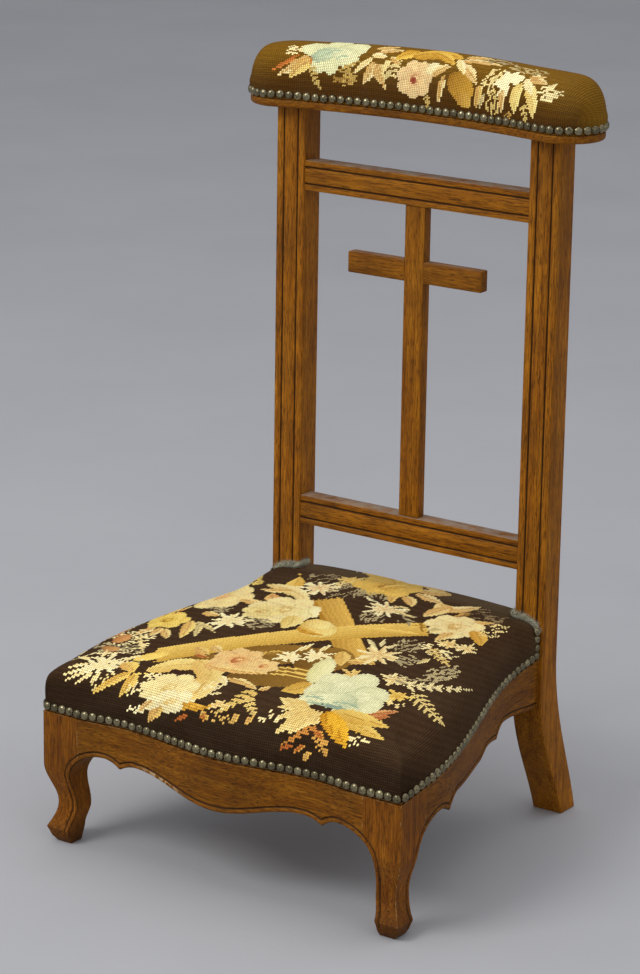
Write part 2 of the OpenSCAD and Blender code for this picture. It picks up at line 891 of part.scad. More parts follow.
module armrest_nails() {
    color("#8a7a4f") {
        for (i = [0:arm_nails]) {
            x = (i / arm_nails - 0.5) * arm_run;
            nail(x, arm_front(x) + cover_outset, arm_nail_z, run_turn(x, armrest_hollow));
            nail(x, arm_back(x) - cover_outset, arm_nail_z, 180 + run_turn(x, armrest_swell));
        }
        for (side = [0, 1], i = [0:end_nails]) {
            a = mix(-84, 84, i / end_nails);
            mirror([side, 0, 0])
                nail(end_x + (end_radius - cover_outset) * cos(a),
                     post_mid + (end_radius - cover_outset) * sin(a), arm_nail_z, 90 + a);
        }
    }
}

left_back_post();
right_back_post();
front_left_leg();
front_right_leg();
front_seat_rail();
left_seat_rail();
right_seat_rail();
rear_seat_rail();
upper_back_rail();
lower_back_rail();
cross_upright();
cross_arm();
rail_dowels();
front_left_block();
front_right_block();
rear_left_block();
rear_right_block();
block_screws();
webbing_lengthwise();
webbing_crosswise();
webbing_tacks();
seat_hessian();
seat_stuffing();
seat_cover();
left_post_gimp();
right_post_gimp();
front_seat_nails();
left_seat_nails();
right_seat_nails();
armrest_board();
armrest_stuffing();
armrest_cover();
armrest_nails();
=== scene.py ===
import math
import bmesh
import bpy
import numpy as np
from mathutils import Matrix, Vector


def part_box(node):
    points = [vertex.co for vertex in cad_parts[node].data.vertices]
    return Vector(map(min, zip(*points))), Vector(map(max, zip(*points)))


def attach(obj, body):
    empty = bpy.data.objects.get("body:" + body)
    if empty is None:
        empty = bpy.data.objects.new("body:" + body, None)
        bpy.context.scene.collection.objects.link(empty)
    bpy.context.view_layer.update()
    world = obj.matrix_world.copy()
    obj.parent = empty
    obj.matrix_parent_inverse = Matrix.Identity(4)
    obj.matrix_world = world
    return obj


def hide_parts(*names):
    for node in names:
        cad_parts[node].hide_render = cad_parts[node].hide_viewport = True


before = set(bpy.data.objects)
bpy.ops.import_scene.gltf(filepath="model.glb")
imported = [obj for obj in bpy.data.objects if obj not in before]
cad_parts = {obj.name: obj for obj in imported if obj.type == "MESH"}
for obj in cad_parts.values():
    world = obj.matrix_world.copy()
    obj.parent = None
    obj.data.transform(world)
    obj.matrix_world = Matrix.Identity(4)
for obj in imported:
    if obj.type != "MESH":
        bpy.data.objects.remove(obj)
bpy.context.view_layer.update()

MM = 0.001
SIDES = ("left", "right")

# ---------------------------------------------------------------- places, in millimetres, from the CAD boxes


def box_mm(node):
    lo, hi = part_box(node)
    return np.array(lo) * 1000, np.array(hi) * 1000


leg_lo, leg_hi = box_mm("front_right_leg")
post_lo, post_hi = box_mm("right_back_post")
up_lo, up_hi = box_mm("upper_back_rail")
low_lo, low_hi = box_mm("lower_back_rail")
rear_lo, rear_hi = box_mm("rear_seat_rail")
cross_lo, cross_hi = box_mm("cross_upright")
arm_lo, arm_hi = box_mm("cross_arm")

FRONT_HALF, CORNER_Y = leg_hi[0], leg_lo[1]
POST_IN, POST_HALF, POST_Y = post_lo[0], post_hi[0], post_lo[1]
POST_DEPTH = 32.0
POST_BACK = POST_Y + POST_DEPTH
SEAT_DEPTH = POST_Y - CORNER_Y
SEAT_FRONT, SEAT_BACK = 156.0, 203.0
LEG_BLOCK = leg_hi[0] - leg_lo[0]
JOINT_X = FRONT_HALF - LEG_BLOCK
BACK_HALF = POST_HALF - 5.0
BULGE, HOLLOW, BAND, REBATE = 7.0, 4.5, 13.0, 3.0
BOARD_Z = box_mm("armrest_board")[0][2]
SLOPE = math.atan((SEAT_BACK - SEAT_FRONT) / SEAT_DEPTH)


def ease(t):
    return (1 - np.cos(np.pi * t)) / 2


def sweep(t):
    return (1 - np.cos(np.radians(135 * t))) / (1 - math.cos(math.radians(135)))


def mix(a, b, t):
    return a + (b - a) * t


def smooth(a, b, x):
    t = np.clip((x - a) / (b - a), 0, 1)
    return t * t * (3 - 2 * t)


def seat_z(y):
    return SEAT_FRONT + (y - CORNER_Y) * math.tan(SLOPE)


def front_y(x):
    u = np.abs(x) / JOINT_X
    inner = mix(-BULGE, HOLLOW, ease(np.clip(u / 0.68, 0, 1)))
    outer = mix(HOLLOW, 0, ease(np.clip((u - 0.68) / 0.32, 0, 1)))
    return CORNER_Y + np.where(u < 0.68, inner, outer)


OGEE_A, OGEE_B = CORNER_Y + LEG_BLOCK, POST_Y - 27.0


def side_x(y):
    return mix(FRONT_HALF, BACK_HALF, ease(np.clip((y - OGEE_A) / (OGEE_B - OGEE_A), 0, 1)))


def curve(a, b, count, bend):
    t = np.arange(1, count + 1) / count
    f = ease(t) if bend == 0 else (1 - (1 - t) ** 2 if bend > 0 else t * t)
    return [(mix(a[0], b[0], s), mix(a[1], b[1], g)) for s, g in zip(t, f)]


def arch(knee, top, count=28):
    a = np.radians(np.linspace(0, 90, count))
    return [(top[0] + (knee[0] - top[0]) * math.cos(s), knee[1] + (top[1] - knee[1]) * math.sin(s)) for s in a]


KNEE_Z, KNEE, ANKLE, TOE = 80.0, 35.0, 11.5, 2.0


def leg_out(z):
    """Inset of the leg's outer ridge from its corner at height z."""
    z = np.asarray(z, float)
    upper = ANKLE * ease(np.clip((95 - z) / 48, 0, 1))
    lower = mix(ANKLE, TOE, 1 - np.cos(np.radians(90 * np.clip((47 - z) / 29, 0, 1))))
    foot = np.interp(z, [0, 7, 18], [11, 6, TOE])
    return np.where(z >= 47, upper, np.where(z >= 18, lower, foot))


def leg_in(z, arch_top):
    """Inset of the leg's inner edge at height z."""
    z = np.asarray(z, float)
    foot = np.interp(z, [0, 18], [30, 33])
    calf = mix(33, 38, ease(np.clip((z - 18) / 27, 0, 1)))
    shin = mix(38, KNEE, ease(np.clip((z - 45) / 35, 0, 1)))
    s = np.clip((z - KNEE_Z) / (arch_top - KNEE_Z), 0, 1)
    knee = 81 - (81 - KNEE) * np.sqrt(1 - s * s)
    above = np.where(z < KNEE_Z, shin, np.minimum(knee, LEG_BLOCK))
    return np.where(z < 18, foot, np.where(z < 45, calf, above))


# lower edges as (distance in from the corner, height); the leg's inner edge comes first
def leg_edge(arch_top):
    zs = np.linspace(0, KNEE_Z, 40)
    return [(float(leg_in(z, arch_top)), float(z)) for z in zs]


FRONT_ARCH = SEAT_FRONT - 39.5
SIDE_ARCH = seat_z(CORNER_Y + 81) - 41.0
front_edge = (leg_edge(FRONT_ARCH) + arch((KNEE, KNEE_Z), (81, FRONT_ARCH))
              + curve((81, FRONT_ARCH), (103.5, SEAT_FRONT - 48.5), 14, -1)
              + curve((103.5, SEAT_FRONT - 48.5), (127, SEAT_FRONT - 41.5), 14, 1)
              + curve((127, SEAT_FRONT - 41.5), (FRONT_HALF, SEAT_FRONT - 60.5), 40, 0))


def side_point(into, drop):
    return into, seat_z(CORNER_Y + into) - drop


# (distance in from the corner, drop below the seat line, bend of the curve that leads there)
side_marks = [(81, 41, 0), (103.5, 52, -1), (127, 40.5, 1), (SEAT_DEPTH * 0.56, 48, 0),
              (SEAT_DEPTH * 0.65, 45, 0), (SEAT_DEPTH * 0.73, 52, -1), (SEAT_DEPTH * 0.79, 41, 1),
              (SEAT_DEPTH, 57, 0)]
side_edge = leg_edge(SIDE_ARCH) + arch((KNEE, KNEE_Z), (81, SIDE_ARCH))
for (pa, da, _), (pb, db, bend) in zip(side_marks, side_marks[1:]):
    side_edge += curve(side_point(pa, da), side_point(pb, db), 18, bend)
front_edge, side_edge = np.array(front_edge), np.array(side_edge)


def nearest(points, a, b):
    """Distance from each point to the nearest of the straight pieces that run from a to b."""
    p, a, b = points[:, None, :], a[None], b[None]
    ab = b - a
    t = np.clip(((p - a) * ab).sum(2) / np.maximum((ab * ab).sum(2), 1e-9), 0, 1)
    return np.sqrt((((a + ab * t[..., None]) - p) ** 2).sum(2)).min(1)


def edge_distance(px, pz, edge):
    """Distance from each point of a flat face to its shaped lower edge."""
    return nearest(np.stack([np.ravel(px), np.ravel(pz)], 1), edge[:-1], edge[1:]).reshape(np.shape(px))


def bead(d):
    """Relief of the rounded bead and the incised line along a shaped edge, at distance d from it."""
    x = [0, 0.5, 1.3, 2.6, 3.8, 4.8, 5.5, 6.0, 6.5, 7.1, 8.0]
    h = [-1.9, -0.8, -0.1, 0.25, 0.1, -0.5, -1.3, -1.6, -1.3, -0.35, 0.0]
    return np.interp(d, x, h)


# ---------------------------------------------------------------- mesh helpers


def make(name, verts, faces, material, sharp=40):
    me = bpy.data.meshes.new(name)
    points = [tuple(v) for v in np.asarray(verts, float) * MM]
    me.from_pydata(points, [], [tuple(map(int, f)) for f in faces])
    me.validate()
    me.materials.append(material)
    me.shade_smooth()
    me.set_sharp_from_angle(angle=math.radians(sharp))
    ob = bpy.data.objects.new(name, me)
    bpy.context.scene.collection.objects.link(ob)
    return ob


def wrapped(base, rings, count):
    """Quads between rings of count points that follow each other from vertex base on."""
    return [(base + i * count + j, base + i * count + k, base + (i + 1) * count + k, base + (i + 1) * count + j)
            for i in range(rings - 1) for j in range(count) for k in ((j + 1) % count,)]


def tube(base, rings, count):
    """The same with one face to close each end."""
    last = base + (rings - 1) * count
    ends = [tuple(base + j for j in reversed(range(count))), tuple(last + j for j in range(count))]
    return wrapped(base, rings, count) + ends


def loft(rings):
    rings = np.asarray(rings, float)
    return rings.reshape(-1, 3), tube(0, *rings.shape[:2])


def outward(ob):
    """Turns every face outward."""
    bm = bmesh.new()
    bm.from_mesh(ob.data)
    bmesh.ops.recalc_face_normals(bm, faces=bm.faces)
    bm.to_mesh(ob.data)
    bm.free()


def mirrored(side, verts, faces):
    """Pieces are drawn for the right side; the left one is the same, turned over in x."""
    if side == "right":
        return verts, faces
    return np.array(verts, float) * (-1, 1, 1), [tuple(reversed(f)) for f in faces]


def stain(ob, values, layer="glaze_and_shade"):
    """Marks points of a piece from 0 to 1 for its wood to read: settled glaze with painted shade in the
    hollows, or the lip of an edge.
    """
    values = np.ravel(values).astype(float)
    full = np.zeros(len(ob.data.vertices))
    full[:len(values)] = values
    ob.data.attributes.new(layer, "FLOAT", "POINT").data.foreach_set("value", full)


def hollow_glaze_shade(relief):
    """Settled glaze and painted shade in a hollow of the given relief in millimetres, negative inwards."""
    return smooth(-0.35, -1.2, np.asarray(relief, float))


def finish_piece(ob, slot, *nodes):
    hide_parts(*nodes)
    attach(ob, "root")
    return ob


# ---------------------------------------------------------------- materials


class Nodes:
    """Small helper to write a node tree as calls."""

    def __init__(self, name):
        self.mat = bpy.data.materials.new(name)
        self.mat.use_nodes = True
        self.tree = self.mat.node_tree
        self.shader = self.tree.nodes["Principled BSDF"]

    def add(self, kind, **props):
        n = self.tree.nodes.new(kind)
        for k, v in props.items():
            setattr(n, k, v)
        return n

    def link(self, a, b):
        self.tree.links.new(a, b)

    def put(self, socket, value):
        if isinstance(value, bpy.types.NodeSocket):
            self.link(value, socket)
        else:
            socket.default_value = value

    def math(self, op, a, b=0.0, c=0.0):
        n = self.add("ShaderNodeMath", operation=op)
        for s, v in zip(n.inputs, (a, b, c)):
            self.put(s, v)
        return n.outputs[0]

    def coords(self, scale=(1, 1, 1), shift=(0, 0, 0)):
        t = self.add("ShaderNodeTexCoord")
        m = self.add("ShaderNodeMapping")
        m.inputs["Scale"].default_value = scale
        m.inputs["Location"].default_value = shift
        self.link(t.outputs["Object"], m.inputs["Vector"])
        return m.outputs[0]

    def noise(self, vector, scale, detail=3.0, rough=0.55, distort=0.0):
        n = self.add("ShaderNodeTexNoise")
        self.put(n.inputs["Vector"], vector)
        n.inputs["Scale"].default_value = scale
        n.inputs["Detail"].default_value = detail
        n.inputs["Roughness"].default_value = rough
        n.inputs["Distortion"].default_value = distort
        return n.outputs["Fac"]

    def ramp(self, fac, stops):
        n = self.add("ShaderNodeValToRGB")
        el = n.color_ramp.elements
        el[0].position, el[0].color = stops[0][0], (*stops[0][1], 1)
        el[1].position, el[1].color = stops[-1][0], (*stops[-1][1], 1)
        for pos, col in stops[1:-1]:
            e = el.new(pos)
            e.color = (*col, 1)
        self.link(fac, n.inputs["Fac"])
        return n.outputs["Color"]

    def grey(self, fac, lo, hi):
        n = self.add("ShaderNodeMapRange", clamp=True)
        self.put(n.inputs["Value"], fac)
        n.inputs["From Min"].default_value = lo
        n.inputs["From Max"].default_value = hi
        return n.outputs["Result"]

    def mixc(self, fac, a, b, mode="MIX"):
        n = self.add("ShaderNodeMix", data_type="RGBA", blend_type=mode)
        self.put(n.inputs["Factor"], fac)
        for sock, v in ((n.inputs[6], a), (n.inputs[7], b)):
            if isinstance(v, bpy.types.NodeSocket):
                self.link(v, sock)
            else:
                sock.default_value = (*v, 1)
        return n.outputs[2]

    def times(self, a, b):
        return self.math("MULTIPLY", a, b)

    def parts(self, vector):
        """The X, Y and Z outputs of a vector."""
        n = self.add("ShaderNodeSeparateXYZ")
        self.link(vector, n.inputs[0])
        return n.outputs

    def painted(self, layer):
        return self.add("ShaderNodeAttribute", attribute_name=layer).outputs["Fac"]

    def bump(self, height, strength, distance):
        n = self.add("ShaderNodeBump")
        n.inputs["Strength"].default_value = strength
        n.inputs["Distance"].default_value = distance
        self.link(height, n.inputs["Height"])
        return n.outputs[0]

    def set(self, name, value):
        s = self.shader.inputs[name]
        if isinstance(value, bpy.types.NodeSocket):
            self.link(value, s)
        elif isinstance(value, (tuple, list)) and len(value) == 3:
            s.default_value = (*value, 1)
        else:
            s.default_value = value


def squeezed(along, amount):
    """Texture scale that draws a pattern out along one axis."""
    scale = [1.0, 1.0, 1.0]
    scale["XYZ".index(along)] = amount
    return scale


def toned(colour, tone):
    return tuple(c * tone for c in colour)


# colours of the oak, linear: the growth bands from dark to light, then what lies on or in the wood, among it
# the settled glaze and painted shade of the hollows
BANDS = (0.245, 0.080, 0.0040), (0.345, 0.124, 0.0060), (0.43, 0.168, 0.010)
PORE, BLOTCH, SHADE_GLAZE = (0.028, 0.0095, 0.0025), (0.055, 0.02, 0.005), (0.020, 0.0085, 0.003)
RUBBED, DUST, BARE = (0.46, 0.27, 0.10), (0.30, 0.25, 0.20), (0.52, 0.36, 0.19)
CHIP_FADE = 0.03


def oak(name, along, shift, tone, dust=0.0, wear=0.5, red=0.0, chips=None):
    """Stained, waxed oak with its grain along one axis: open pores, growth bands, rubbed arrises, and settled
    glaze with painted shade in the hollows.
    """
    n = Nodes(name)
    v = n.coords(squeezed(along, 0.045), shift)
    bands = n.noise(v, 120, 4, 0.6, 0.7)
    streak = n.noise(v, 760, 4, 0.7, 0.2)
    pore = n.grey(n.noise(n.coords(squeezed(along, 0.07), shift), 1250, 2, 0.5), 0.55, 0.64)
    c = [(a * (1 + red * 0.15), b * (1 - red * 0.18), d) for a, b, d in (toned(band, tone) for band in BANDS)]
    base = n.ramp(bands, [(0.32, c[0]), (0.5, c[1]), (0.70, c[2])])
    fine = n.ramp(streak, [(0.36, (0.56, 0.50, 0.42)), (0.60, (1.16, 1.15, 1.12))])
    col = n.mixc(1.0, base, fine, "MULTIPLY")
    col = n.mixc(n.times(pore, 0.68), col, toned(PORE, tone))
    blot = n.grey(n.noise(n.coords(), 14, 2, 0.5), 0.42, 0.66)
    col = n.mixc(n.times(blot, 0.35), col, toned(BLOTCH, tone))
    bevel = n.add("ShaderNodeBevel", samples=4)
    bevel.inputs["Radius"].default_value = 0.0016
    normal = n.add("ShaderNodeNewGeometry").outputs["Normal"]
    dot = n.add("ShaderNodeVectorMath", operation="DOT_PRODUCT")
    n.link(bevel.outputs[0], dot.inputs[0])
    n.link(normal, dot.inputs[1])
    arris = n.grey(dot.outputs["Value"], 0.985, 0.90)
    rub = n.times(arris, n.grey(n.noise(n.coords(), 130, 3), 0.45, 0.62))
    col = n.mixc(n.times(rub, wear), col, RUBBED)
    if dust:
        film = n.times(n.grey(n.parts(normal)["Z"], 0.75, 0.98), n.grey(n.noise(n.coords(), 60, 3), 0.25, 0.6))
        col = n.mixc(n.times(film, dust), col, DUST)
    if chips:
        # flakes of stain lost from the lip of the shaped edge, between two places along x, in metres
        x = n.parts(n.coords())["X"]
        near = n.times(n.grey(x, chips[0], chips[0] + CHIP_FADE), n.grey(x, chips[1], chips[1] - CHIP_FADE))
        flake = n.grey(n.noise(n.coords(), 190, 4, 0.65), 0.50, 0.56)
        col = n.mixc(n.times(n.times(flake, n.painted("lip")), near), col, BARE)
    # settled glaze and painted shade in the marked grooves, bead lines and hollows
    col = n.mixc(n.times(n.painted("glaze_and_shade"), 0.88), col, toned(SHADE_GLAZE, tone))
    n.set("Base Color", col)
    n.set("Roughness", n.math("MULTIPLY_ADD", streak, 0.22, 0.42))
    n.set("Specular IOR Level", 0.11)
    h = n.math("ADD", n.times(pore, -1.0), n.times(streak, 0.6))
    n.set("Normal", n.bump(h, 0.3, 0.0003))
    return n.mat


def plain_wood(name, along):
    n = Nodes(name)
    v = n.coords(squeezed(along, 0.06))
    col = n.ramp(n.noise(v, 240, 4, 0.6, 0.4), [(0.3, (0.19, 0.115, 0.05)), (0.68, (0.36, 0.24, 0.12))])
    n.set("Base Color", n.mixc(n.grey(n.noise(n.coords(), 30), 0.4, 0.7), col, (0.14, 0.09, 0.045)))
    n.set("Roughness", 0.72)
    n.set("Normal", n.bump(n.noise(v, 700), 0.3, 0.0005))
    return n.mat


def weave(name, colour, dark, pitch, strength=0.8):
    """Plain woven cloth from crossed waves, in object space; pitch in metres."""
    n = Nodes(name)
    v = n.coords()
    k = 2 * math.pi / pitch
    wx, wy = (n.math("SINE", n.times(n.parts(v)[axis], k)) for axis in "XY")
    h = n.math("ADD", n.times(wx, wy), n.noise(v, 900, 3))
    # painted shade: the cloth is darker in the low places of its weave
    col = n.mixc(n.grey(h, -0.6, 1.2), dark, colour)
    col = n.mixc(n.times(n.grey(n.noise(v, 45), 0.4, 0.7), 0.4), col, dark)
    n.set("Base Color", col)
    n.set("Roughness", 0.95)
    n.set("Specular IOR Level", 0.15)
    n.set("Normal", n.bump(h, strength, 0.0006))
    return n.mat


def antique_brass(name):
    n = Nodes(name)
    each = n.add("ShaderNodeNewGeometry").outputs["Random Per Island"]
    spots = n.noise(n.coords(), 420, 4, 0.6)
    tones = (0.0, (0.15, 0.125, 0.07)), (0.45, (0.23, 0.195, 0.11)), (1.0, (0.33, 0.285, 0.165))
    tone = n.ramp(each, tones)
    col = n.mixc(n.grey(spots, 0.48, 0.68), tone, (0.045, 0.04, 0.026))
    n.set("Base Color", col)
    n.set("Metallic", 0.9)
    n.set("Roughness", n.math("MULTIPLY_ADD", spots, 0.30, 0.10))
    n.set("Normal", n.bump(spots, 0.25, 0.0004))
    return n.mat


def metal(name, colour, rough):
    n = Nodes(name)
    v = n.noise(n.coords(), 300, 3)
    n.set("Base Color", n.mixc(n.grey(v, 0.4, 0.7), colour, tuple(c * 0.5 for c in colour)))
    n.set("Metallic", 0.9)
    n.set("Roughness", rough)
    n.set("Normal", n.bump(v, 0.2, 0.0003))
    return n.mat


# grain axis, place in the pattern and tone of each oak piece
wood_posts, wood_legs, wood_sides = {}, {}, {}
for i, s in enumerate(SIDES):
    wood_posts[s] = oak("oak_post_" + s, "Z", (0.13 * i, 0.4 * i, 0.2 + i), 1.06, wear=0.45)
    wood_legs[s] = oak("oak_leg_" + s, "Z", (1.3 + i, 0.6, 0.4 * i), 0.76, wear=0.75, red=0.25)
    wood_sides[s] = oak("oak_side_rail_" + s, "Y", (2.3 + i, 0.1, 0.9), 0.62, wear=0.7)
wood_front = oak("oak_front_rail", "X", (0.2, 0.7, 0.31), 0.74, wear=0.8, chips=(-0.112, -0.035))
wood_rails = {s: oak("oak_back_rail_" + s, "X", (0.9 * i, 3.1, 0.77 + i), 1.0, dust=0.75)
              for i, s in enumerate(("upper", "lower", "rear"))}
wood_upright = oak("oak_cross_upright", "Z", (0.4, 1.9, 0.2), 0.96, wear=0.35)
wood_arm = oak("oak_cross_arm", "X", (1.4, 0.9, 2.2), 0.86, wear=0.35, dust=0.3)
wood_board = oak("oak_board", "X", (3.4, 0.3, 1.2), 0.8, wear=0.8)
beech = plain_wood("beech_blocks", "X")
brass = antique_brass("antique_brass")
steel = metal("dull_steel", (0.32, 0.31, 0.30), 0.45)

# ---------------------------------------------------------------- wooden pieces

GROOVE = [(-1.9, 0.0), (-1.25, 0.35), (-0.75, 1.35), (0.0, 1.8), (0.75, 1.35), (1.25, 0.35), (1.9, 0.0)]


def grooved_side(width, grooves, depth=1.0, arris=1.0):
    """Points (across, inward) of one flat face with rounded arrises and grooves at the given fractions."""
    pts = [(0.0, arris), (arris * 0.3, arris * 0.3), (arris, 0.0)]
    for at in grooves:
        pts += [(at * width + a, b * depth) for a, b in GROOVE]
    return pts + [(width - arris, 0.0), (width - arris * 0.3, arris * 0.3), (width, arris)]


def post_front(z):
    return POST_Y + 56 * sweep(1 - np.clip(z / 160, 0, 1))


def post_rear(z):
    return POST_BACK + 54 * sweep(1 - np.clip(z / 200, 0, 1))


def build_post(side):
    heights = [0, 1.0] + list(np.linspace(3, 208, 70)) + list(np.linspace(214, BOARD_Z - 1.5, 60)) + [BOARD_Z]
    rings, dark = [], []
    width = POST_HALF - POST_IN
    for z in heights:
        keep = 0.95 if z == 0 else 1.0
        f, b = float(post_front(z)), float(post_rear(z))
        ring = [(POST_IN + u, f + v) for u, v in grooved_side(width, (0.25, 0.75), float(smooth(206, 218, z)))]
        back = [(POST_IN + width - u, b - v) for u, v in grooved_side(width, (0.5,), 0.0)]
        ring += [(POST_HALF, mix(f, b, t)) for t in (0.33, 0.67)] + back
        ring += [(POST_IN, mix(b, f, t)) for t in (0.33, 0.67)]
        cx, cy = (POST_IN + POST_HALF) / 2, (f + b) / 2
        # points inside the front face's grooves take settled glaze and painted shade
        dark.append([float(3 < x - POST_IN < width - 3 and 0.6 < y - f < 3) for x, y in ring])
        rings.append([(cx + (x - cx) * keep, cy + (y - cy) * keep, z) for x, y in ring])
    ob = make(side + "_post", *mirrored(side, *loft(rings)), wood_posts[side], 50)
    stain(ob, dark)
    outward(ob)
    return finish_piece(ob, "show_wood", side + "_back_post")


def bar_along_x(name, x0, x1, section, material):
    """A straight bar whose closed section is a list of (y, z); its ends are eased by half a millimetre."""
    sec = np.array(section)
    mid = sec.mean(0)
    xs = [x0, x0 + 0.5] + list(np.linspace(x0, x1, 12))[1:-1] + [x1 - 0.5, x1]
    rings = []
    for i, x in enumerate(xs):
        k = 1 - 0.5 / 12 if i in (0, len(xs) - 1) else 1
        rings.append([(x, *(mid + (p - mid) * k)) for p in sec])
    ob = make(name, *loft(rings), material)
    lo, hi = sec.min(0), sec.max(0)
    y, z = sec.T
    # points in the grooves of the front face take settled glaze and painted shade
    hollow = (y > lo[0] + 0.6) & (y < lo[0] + 2.5) & (z > lo[1] + 3) & (z < hi[1] - 3)
    stain(ob, np.tile(hollow, len(rings)))
    outward(ob)
    return ob


def rail_section(y, z, depth, height, grooves):
    front = [(y + v, z + u) for u, v in grooved_side(height, grooves, 1.0, 1.2)]
    back = [(y + depth - v, z + height - u) for u, v in grooved_side(height, (), 1.0, 1.0)]
    return front + back


def halved_bar(name, lo, hi, axis, cut, keep_front, material, r=1.2):
    """Bar of the cross, with half of its depth cut away between the cut's two places."""
    mid_y = (lo[1] + hi[1]) / 2
    a = "xyz".index(axis)
    w = 2 if axis == "x" else 0
    stations = [(lo[a], 0.9 * r, 0), (lo[a] + 0.3 * r, 0.3 * r, 0), (lo[a] + r, 0, 0)]
    stations += [(t, 0, 0) for t in np.linspace(lo[a] + r, cut[0] - 0.05, 6)[1:]]
    stations += [(t, 0, 1) for t in np.linspace(cut[0] - 0.04, cut[1] + 0.04, 4)]
    stations += [(t, 0, 0) for t in np.linspace(cut[1] + 0.05, hi[a] - r, 8)]
    stations += [(hi[a] - 0.3 * r, 0.3 * r, 0), (hi[a], 0.9 * r, 0)]
    rings = []
    for t, inset, halved in stations:
        y0, y1 = lo[1], hi[1]
        if halved:
            y0, y1 = (y0, mid_y - 0.05) if keep_front else (mid_y + 0.05, y1)
        ring = []
        for cw, cy, a0 in ((hi[w], y1, 0), (lo[w], y1, 90), (lo[w], y0, 180), (hi[w], y0, 270)):
            dw, dy = (-1 if cw == hi[w] else 1), (-1 if cy == y1 else 1)
            for k in (0, 45, 90):
                ang = math.radians(a0 + k)
                p = [0.0, 0.0, 0.0]
                p[a] = t
                p[w] = cw + dw * r + (r - inset) * math.cos(ang)
                p[1] = cy + dy * r + (r - inset) * math.sin(ang)
                ring.append(p)
        rings.append(ring)
    ob = make(name, *loft(rings), material, 50)
    outward(ob)
    return ob


LEG_HEIGHTS = np.concatenate([[0, 0.6, 2, 4, 7, 10, 14, 18], np.linspace(21, 92, 48), np.linspace(93, 118, 36),
                              np.linspace(120, SEAT_FRONT, 14)])
THIRDS = (0, 0.33, 0.67, 1)


def leg_relief(inset, z, ridge_at, edge):
    """Relief of one face of a leg at height z, and how much its ridge is rounded there."""
    d = edge_distance(inset, np.full(len(inset), z), edge) if z < 150 else np.full(len(inset), 20.0)
    rounding = 0.45 * (1 - np.clip((inset - ridge_at) / 1.2, 0, 1)) ** 2
    return bead(d) * smooth(2, 16, z), rounding


def build_front_leg(side):
    t = np.linspace(0, 1, 22)
    rings, dark = [], []
    for z in LEG_HEIGHTS:
        o = float(leg_out(z))
        inx, iny = min(float(leg_in(z, FRONT_ARCH)), LEG_BLOCK), min(float(leg_in(z, SIDE_ARCH)), LEG_BLOCK)
        # the front face, from the inner edge to the ridge, then the side face, then the two inner faces
        xs_in, ys_in = inx - (inx - o) * t, o + (iny - o) * t
        front_h, front_round = leg_relief(xs_in, z, o, front_edge)
        side_h, side_round = leg_relief(ys_in, z, o, side_edge)
        ring = [(FRONT_HALF - a, CORNER_Y + o - b + r) for a, b, r in zip(xs_in, front_h, front_round)]
        ring += [(FRONT_HALF - o + b - r, CORNER_Y + a) for a, b, r in zip(ys_in, side_h, side_round)]
        ring += [(FRONT_HALF - mix(o + 1.5, inx, s), CORNER_Y + iny - (0.6 if s in (0, 1) else 0))
                 for s in THIRDS]
        ring += [(FRONT_HALF - inx, CORNER_Y + mix(iny - 1.5, o + 2.2, s)) for s in THIRDS]
        # the bead and incised line take settled glaze and painted shade; the leg also turns darker towards its
        # foot
        foot_dark = 0.55 * float(smooth(34, 6, z))
        dark.append(np.maximum(np.concatenate([hollow_glaze_shade(front_h), hollow_glaze_shade(side_h), np.zeros(8)]), foot_dark))
        cx = FRONT_HALF - (o + inx) / 2
        cy = CORNER_Y + (o + iny) / 2
        k = 0.94 if z == 0 else 1.0
        lift = smooth(120, SEAT_FRONT, z)
        rings.append([(cx + (x - cx) * k, cy + (y - cy) * k, z + (seat_z(y) - SEAT_FRONT) * lift)
                      for x, y in ring])
    top = np.array(rings[-1])
    lo_x, hi_y = FRONT_HALF - LEG_BLOCK, CORNER_Y + LEG_BLOCK
    for up in (0, BAND):
        ring = top.copy()
        ring[:, 0] = np.clip(ring[:, 0], lo_x, FRONT_HALF - REBATE)
        ring[:, 1] = np.clip(ring[:, 1], CORNER_Y + REBATE, hi_y)
        ring[:, 2] = seat_z(ring[:, 1]) + up
        rings.append(ring)
    ob = make(side + "_front_leg", *mirrored(side, *loft(rings)), wood_legs[side], 42)
    stain(ob, dark)
    outward(ob)
    return finish_piece(ob, "show_wood", "front_" + side + "_leg")


BEAD_ROWS = np.array([0, 0.5, 1.1, 1.8, 2.6, 3.4, 4.2, 4.9, 5.4, 5.8, 6.15, 6.5, 6.9, 7.5, 8.6])


def place(along, s, base, out, z):
    """A point of a rail: out is how far it stands proud of the base face."""
    return (s, base - out, z) if along == "x" else (base + out, s, z)


